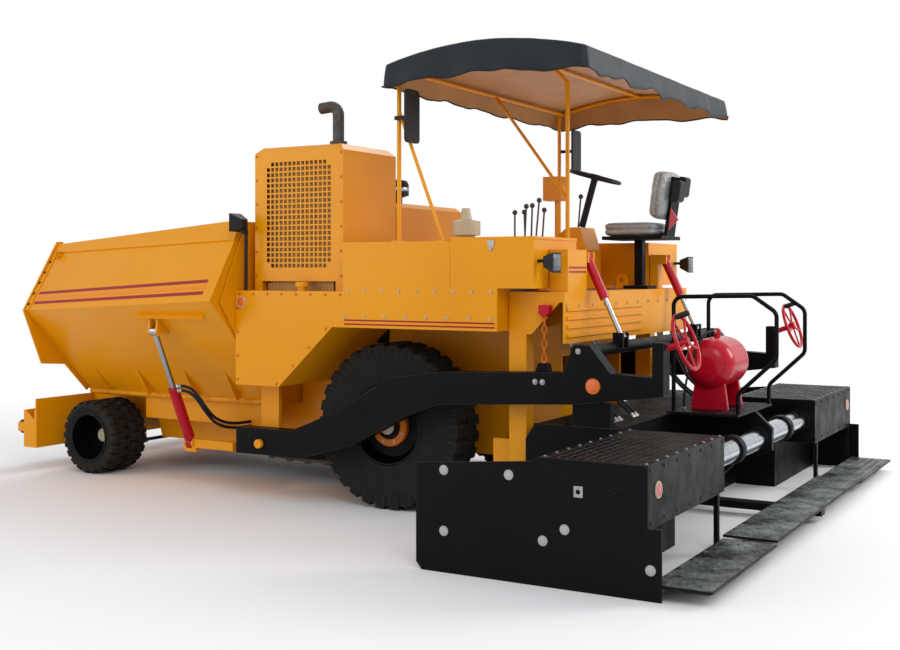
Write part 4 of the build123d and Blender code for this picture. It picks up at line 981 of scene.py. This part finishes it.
for side, word in sides:
    for name, body, slot, paintName, size, (ahead, across, up), spots in boltTable:
        if side > 0 or name.endswith("_"):
            name, body = (text + word if text.endswith("_") else text for text in (name, body))
            spots = [Vector((spot.x, spot.y * side, spot.z)) for spot in spots]
            bolts(name, body, slot, paintName, size, spots, (ahead, across * side, up))
print("bolts set")


# tread plate

treadPlan = {"pitch": 46.0, "lozenge": (0.017, 0.0055, 0.0036), "sheet": 1.2}


def tread(name, body, paintName, x, y, z):
    length, width = x[1] - x[0], y[1] - y[0]
    values = {
        "Length": length / 1000, "Width": width / 1000,
        "Along": int(length / treadPlan["pitch"]) + 1, "Across": int(width / treadPlan["pitch"]) + 1,
        "Centre": place(sum(x) / 2, sum(y) / 2, z), "Lozenge": treadPlan["lozenge"],
    }
    piece = runTree(name, treadTree, [place(0, 0, 0)], [(0, 0, 1)], values, paintName)
    return settle(piece, body, "black_paint")


def boardSheet(name, body, x, y, z):
    # thin worn sheet that carries the tread
    outline = [place(a, b, z) for a, b in ((x[0], y[0]), (x[1], y[0]), (x[1], y[1]), (x[0], y[1]))]
    return bandPiece(name, outline, (0, 0, 1), treadPlan["sheet"], "treadWorn", body, "black_paint")


for side, word in sides:
    lid, board, sheet = (sorted((side * a, side * b)) for a, b in ((1092, 2220), (1145, 2224), (1130, 2239)))
    tread("lidTread_" + word, "extension_" + word, "treadBlack", (-2200, -1722), lid, 637)
    tread("outerBoardTread_" + word, "extension_" + word, "treadWorn", (-2531, -2271), board, 83)
    boardSheet("outerBoardSheet_" + word, "extension_" + word, (-2546, -2256), sheet, 82)
boardSheet("centreBoardSheet", "screed", (-2546, -2256), (-1110, 1110), 100)
tread("centreBoardTread", "screed", "treadWorn", (-2531, -2271), (-1095, 1095), 101)
tread("screedTread", "screed", "treadBlack", (-1640, -1160), (-1060, 1060), 650)
tread("platformTread", "screed", "treadBlack", (-2100, -1990), (-340, 340), 674)
tread("deckTread", "tractor", "treadBlack", (-1150, 180), (-380, 200), 1426)
print("tread plates laid")


# lifting chain

chainPlan = {
    "top": (-1181.0, 1140.0, 1290.0), "low": (-1181.0, 1150.0, 945.0), "pitch": 42.0,
    "link": {"Link Radius": 0.0135, "Link Stretch": 1.95, "Wire Radius": 0.0048},
}


def makeChain(plan, side, word):
    top, low = (place(x, y * side, z) for x, y, z in (plan["top"], plan["low"]))
    count = int((top - low).length * 1000 / plan["pitch"]) + 1
    spots = [top.lerp(low, i / (count - 1)) for i in range(count)]
    piece = runTree("liftChain_" + word, chainTree, spots, [(0, 0, 1)] * count, plan["link"], "orange")
    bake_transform(piece)


# hoses

hosePlan = {
    "wing": {"diameter": 22.0, "apart": 32.0, "portY": 1180.0, "portApart": 0.45,
             "route": ((1652, 1180, 706), (1585, 1184, 716), (1490, 1182, 668), (1432, 1150, 565),
                       (1410, 1070, 475), (1385, 940, 432), (1370, 780, 425), (1365, 640, 432),
                       (1365, 512, 440))},
    "screed": {"diameter": 20.0, "y": (560.0, 615.0, 830.0, 890.0, 950.0),
               "route": ((-1268, 1122), (-1275, 1040), (-1302, 930), (-1362, 815), (-1440, 735), (-1500, 695),
                         (-1540, 652))},
    "gas": {"diameter": 14.0,
            "route": ((-1870, 47, 1161), (-1868, 110, 1172), (-1856, 190, 1158), (-1825, 262, 1085),
                      (-1790, 300, 960), (-1762, 312, 830), (-1750, 300, 740), (-1748, 290, 676))},
    "valve": {"diameter": 18.0, "routes": (
        ((-800, 300, 1500), (-870, 300, 1502), (-960, 300, 1490), (-1040, 310, 1455), (-1090, 330, 1427)),
        ((-800, 380, 1500), (-880, 380, 1506), (-980, 385, 1494), (-1070, 400, 1458), (-1120, 420, 1427)),
        ((-800, 450, 1500), (-870, 452, 1502), (-960, 465, 1490), (-1035, 485, 1455), (-1080, 510, 1427)))},
    "spacing": 0.012, "facets": 14,
}


def routeLine(points, spacing):
    # evenly spaced points of the smooth curve that the route controls
    curve = bpy.data.curves.new("route", "CURVE")
    curve.dimensions = "3D"
    spline = curve.splines.new("NURBS")
    spline.points.add(len(points) - 1)
    for control, point in zip(spline.points, points):
        control.co = (*point, 1.0)
    spline.order_u = 3
    spline.use_endpoint_u = True
    curve.resolution_u = 24
    line = [vertex.co.copy() for vertex in meshOfCurve(curve).vertices]
    kept = [line[0]]
    for point in line[1:-1]:
        if (point - kept[-1]).length >= spacing:
            kept.append(point)
    return kept + [line[-1]]


def tubeAlong(name, line, radius, facets):
    vertices, faces = [], []
    side = (line[1] - line[0]).orthogonal().normalized()
    for n, point in enumerate(line):
        ahead = (line[min(n + 1, len(line) - 1)] - line[max(n - 1, 0)]).normalized()
        side = (side - ahead * side.dot(ahead)).normalized()
        other = ahead.cross(side)
        for s in range(facets):
            turn = 2 * math.pi * s / facets
            vertices.append(point + (side * math.cos(turn) + other * math.sin(turn)) * radius)
        if n:
            here, there = (n - 1) * facets, n * facets
            for s in range(facets):
                after = (s + 1) % facets
                faces.append((here + s, here + after, there + after, there + s))
    faces.append(tuple(range(facets)))
    faces.append(tuple(range(len(vertices) - 1, len(vertices) - facets - 1, -1)))
    return meshFrom(name, vertices, faces)


def fitting(name, point, ahead, radius, body):
    # swaged ferrule and hexagon nut where a hose leaves a port
    ahead, r = ahead.normalized(), radius * 1000
    ferrule = [(r * 0.9, -4), (r * 1.28, -4), (r * 1.28, r * 2.6), (r * 1.12, r * 3.0), (r * 0.9, r * 3.0)]
    nut = [(r * 0.95, -2), (r * 1.62, -2), (r * 1.62, r * 0.9), (r * 0.95, r * 0.9)]
    mesh = turned(name, ferrule, point, ahead, 20)
    with editing(mesh) as shape:
        shape.from_mesh(turned(name, nut, point, ahead, 6))
    return settle(linkPiece(name, mesh, ("brightSteel",)), body, "worn_steel")


def hose(name, points, diameter, bodies):
    line = routeLine([place(*p) for p in points], hosePlan["spacing"])
    radius = diameter / 2000
    piece = linkPiece(name, tubeAlong(name, line, radius, hosePlan["facets"]), ("hoseRubber",))
    ends = [fitting(name + "_start", line[0], line[1] - line[0], radius, bodies[0]),
            fitting(name + "_end", line[-1], line[-2] - line[-1], radius, bodies[-1])]
    if len(bodies) == 2:
        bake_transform(piece)
    else:
        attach(piece, bodies[0])


for side, word in sides:
    makeChain(chainPlan, side, word)
    plan = hosePlan["wing"]
    for n in range(2):
        points = [(x, side * y, z + n * plan["apart"]) for x, y, z in plan["route"]]
        portY = plan["portY"] + n * plan["apart"] * plan["portApart"]
        points[0] = (points[0][0], side * portY, points[0][2])
        hose("wingHose_%s_%d" % (word, n), points[::-1], plan["diameter"], ("tractor", "wing_barrel_" + word))
    plan = hosePlan["screed"]
    for n, y in enumerate(plan["y"]):
        points = [(x, side * y, z) for x, z in plan["route"]]
        hose("screedHose_%s_%d" % (word, n), points, plan["diameter"], ("tractor", "screed"))
hose("gasHose", hosePlan["gas"]["route"], hosePlan["gas"]["diameter"], ("screed",))
for n, route in enumerate(hosePlan["valve"]["routes"]):
    hose("valveHose_%d" % n, route, hosePlan["valve"]["diameter"], ("tractor",))
print("chain and hoses hung")


# guide tube collars, lamp glasses, grips and clasps

glassPlan = {"steps": 12, "bow": 7.0, "ribs": 0.9, "lift": 1.0, "wall": 0.003}


def lampGlass(name, centre, axis, half):
    # bowed ribbed glass set into the lamp's square case
    axis, side, up = Vector(axis), Vector((0, 1, 0)), Vector((0, 0, 1))
    count = glassPlan["steps"]
    vertices = []
    for i in range(count + 1):
        for k in range(count + 1):
            u, v = 2 * i / count - 1, 2 * k / count - 1
            ribs = glassPlan["ribs"] * math.cos(u * math.pi * 6) * (1 - u ** 4)
            bow = glassPlan["bow"] * (1 - u ** 4) * (1 - v ** 4) + ribs + glassPlan["lift"]
            vertices.append(centre + (side * u * half + up * v * half + axis * bow) / 1000)
    corners = [i * (count + 1) + k for i in range(count) for k in range(count)]
    faces = [(a, a + 1, a + count + 2, a + count + 1) for a in corners]
    piece = linkPiece(name, meshFrom(name, vertices, faces), ("lampGlass",))
    piece.modifiers.new("thickness", "SOLIDIFY").thickness = glassPlan["wall"]
    settle(applyModifiers(piece), "tractor", "filter_steel")


collarPlan = [(72.8, -34), (84, -34), (88, -26), (88, 26), (84, 34), (72.8, 34)]
knobPlan = {
    "radius": 157.0, "tilt": 20.0, "turn": 1.15,
    "profile": [(0, 4), (9, 4), (15, 16), (17, 40), (16, 84), (11, 94), (0, 96)],
}
for side, word in sides:
    lampGlass("frontLampGlass_" + word, place(1084, side * 1250, 1880), (1, 0, 0), 54)
    lampGlass("rearLampGlass_" + word, place(-1288, side * 1200, 1600), (-1, 0, 0), 52)
    collarSpot = place(-2130, side * 560, 490)
    turnedPiece("guideCollar_" + word, collarPlan, collarSpot, (0, 1, 0), "black", "screed", "black_paint")
    tilt, turn = math.radians(knobPlan["tilt"]), knobPlan["turn"]
    axis, first = Vector((-math.cos(tilt), 0, math.sin(tilt))), Vector((0, 1, 0))
    ray = first * math.cos(turn) + axis.cross(first) * -math.sin(turn)
    rimSpot = place(-2060, side * 1170, 1157) + ray * knobPlan["radius"] / 1000
    turnedPiece("wheelKnob_" + word, knobPlan["profile"], rimSpot, axis, "plastic", "screed",
                "black_plastic", 24)

claspPlan = {"plate": ((-905, 1735), (-855, 1735), (-862, 1690), (-880, 1668), (-898, 1690)), "thick": 5.0}
outline = spotsAt(1250.3, *claspPlan["plate"])
bandPiece("boxClasp", outline, (0, 1, 0), claspPlan["thick"], "brightSteel", "tractor", "worn_steel")
bolts("claspBolts", "tractor", "worn_steel", "brightSteel", "small", spotsAt(1255, (-880, 1684)), (0, 1, 0))


# chain hook blocks, brackets and end plates

bracketPlan = {
    "hook": ((-1215, 1350), (-1147, 1350), (-1147, 1302), (-1168, 1280), (-1194, 1280), (-1215, 1302)),
    "clevis": ((-1228, 953), (-1134, 953), (-1148, 1006), (-1214, 1006)),
}


def easedBlock(name, outline, y, thickness, side, paintName, body, slot):
    # plate cut to an outline of (x, z), with eased edges
    mesh = bandMesh(name, spotsAt(side * y, *outline), (0, side, 0), thickness)
    piece = linkPiece(name, mesh, (paintName,))
    ease = piece.modifiers.new("eased", "BEVEL")
    ease.width = 0.003
    ease.segments = 2
    return settle(applyModifiers(piece), body, slot)


endPlatePlan = {
    "outline": ((-1004, 1), (-969, 41), (-969, 555), (-1633, 612), (-1677, 636), (-2243, 636), (-2243, 343),
                (-2310, 343), (-2310, 1)),
    "inner": 2244.0, "outer": 2254.0, "bevel": 1.2,
    "holeCentre": (-2094, 491), "holeCircle": 40.0, "hole": 7.0, "holes": 6, "holeFacets": 16,
    "latch": ((-1915, 512), (-1866, 512), (-1866, 456), (-1915, 456)),
}


def ring(centre, radius, count):
    turns = [2 * math.pi * i / count for i in range(count)]
    return [(centre[0] + radius * math.cos(turn), centre[1] + radius * math.sin(turn)) for turn in turns]


def makeEndPlate(plan, side, word):
    # flame-cut plate as a filled outline with its adjusting holes
    curve = bpy.data.curves.new("endPlate_" + word, "CURVE")
    curve.dimensions = "2D"
    curve.fill_mode = "BOTH"
    curve.extrude = ((plan["outer"] - plan["inner"]) / 2 - plan["bevel"]) / 1000
    curve.bevel_depth = plan["bevel"] / 1000
    curve.bevel_resolution = 1
    curve.offset = -plan["bevel"] / 1000
    holes = ring(plan["holeCentre"], plan["holeCircle"], plan["holes"])
    for points in (plan["outline"], *(ring(hole, plan["hole"], plan["holeFacets"]) for hole in holes)):
        spline = curve.splines.new("POLY")
        spline.points.add(len(points) - 1)
        for control, spot in zip(spline.points, spotsAt(0, *points)):
            control.co = (spot.x, spot.z, 0, 1)
        spline.use_cyclic_u = True
    mesh = meshOfCurve(curve)
    mid = side * (plan["inner"] + plan["outer"]) / 2000
    for vertex in mesh.vertices:
        x, z, thick = vertex.co
        vertex.co = (x, mid + thick, z)
    with editing(mesh) as shape:
        closeUp(shape)
    mesh.materials.clear()
    piece = linkPiece("endPlate_" + word, mesh, ("black",))
    return settle(piece, "extension_" + word, "black_paint", "end_plate_" + word)


for side, word in sides:
    latch, extension = endPlatePlan["latch"], "extension_" + word
    easedBlock("hookBlock_" + word, bracketPlan["hook"], 1100.3, 60, side, "red", "tractor", "red_paint")
    easedBlock("chainClevis_" + word, bracketPlan["clevis"], 1125, 48, side, "black", "screed", "black_paint")
    makeEndPlate(endPlatePlan, side, word)
    easedBlock("plateLatch_" + word, latch, 2254, 8, side, "brightSteel", extension, "worn_steel")
print("glasses, knobs, brackets and end plates fitted")


# pre-cleaner dome, seat boxes and latch knob

domePlan = {
    "shell": [(0, 178), (31, 178), (60, 174), (83, 167), (97, 142), (97, 64), (50, 48), (50, 2), (0, 2)],
    "band": [(97.5, 92), (100, 92), (101, 97), (101, 113), (100, 118), (97.5, 118)],
    "foot": (400.0, 300.0, 2030.0),
}
domeFoot = place(*domePlan["foot"])
for name, paintName, slot in (("shell", "plastic", "black_plastic"), ("band", "chrome", "hard_chrome")):
    turnedPiece("precleaner_" + name, domePlan[name], domeFoot, (0, 0, 1), paintName, "tractor", slot, 40)

seatBoxPlan = {
    # outline of (x, z) in the backrest's own directions, and (y, thickness)
    "upper": (((-94, 190), (-94, 330), (-132, 330), (-146, 316), (-146, 204), (-132, 190)), (-560, 100)),
    "lower": (((-94, 150), (-94, 300), (-140, 300), (-156, 284), (-156, 166), (-140, 150)), (-440, 110)),
    "foot": (-1320.0, 1897.0), "lean": -8.0,
    "triangle": ((-1416, 1835), (-1432, 1985), (-1488, 1905)),
}


def leaned(plan, x, z):
    lean, (footX, footZ) = math.radians(plan["lean"]), plan["foot"]
    return footX + x * math.cos(lean) + z * math.sin(lean), footZ - x * math.sin(lean) + z * math.cos(lean)


for label in ("upper", "lower"):
    outline, (y, thickness) = seatBoxPlan[label]
    outline = [leaned(seatBoxPlan, x, z) for x, z in outline]
    easedBlock("seatBox_" + label, outline, y, thickness, 1, "plastic", "tractor", "black_plastic")
easedBlock("seatReflector", seatBoxPlan["triangle"], -360, 12, 1, "lensRed", "tractor", "red_paint")

latchKnob = [(0, 0), (12, 0), (12, 1), (9, 1.6), (0, 1.8)]
for side, word in sides:
    name, spot = "latchKnob_" + word, place(-1890, side * 2262, 484)
    turnedPiece(name, latchKnob, spot, (0, side, 0), "black", "extension_" + word, "black_paint", 20)
print("dome, seat boxes and latches fitted")


def corners(box):
    return [list(box[0]), list(box[1])]
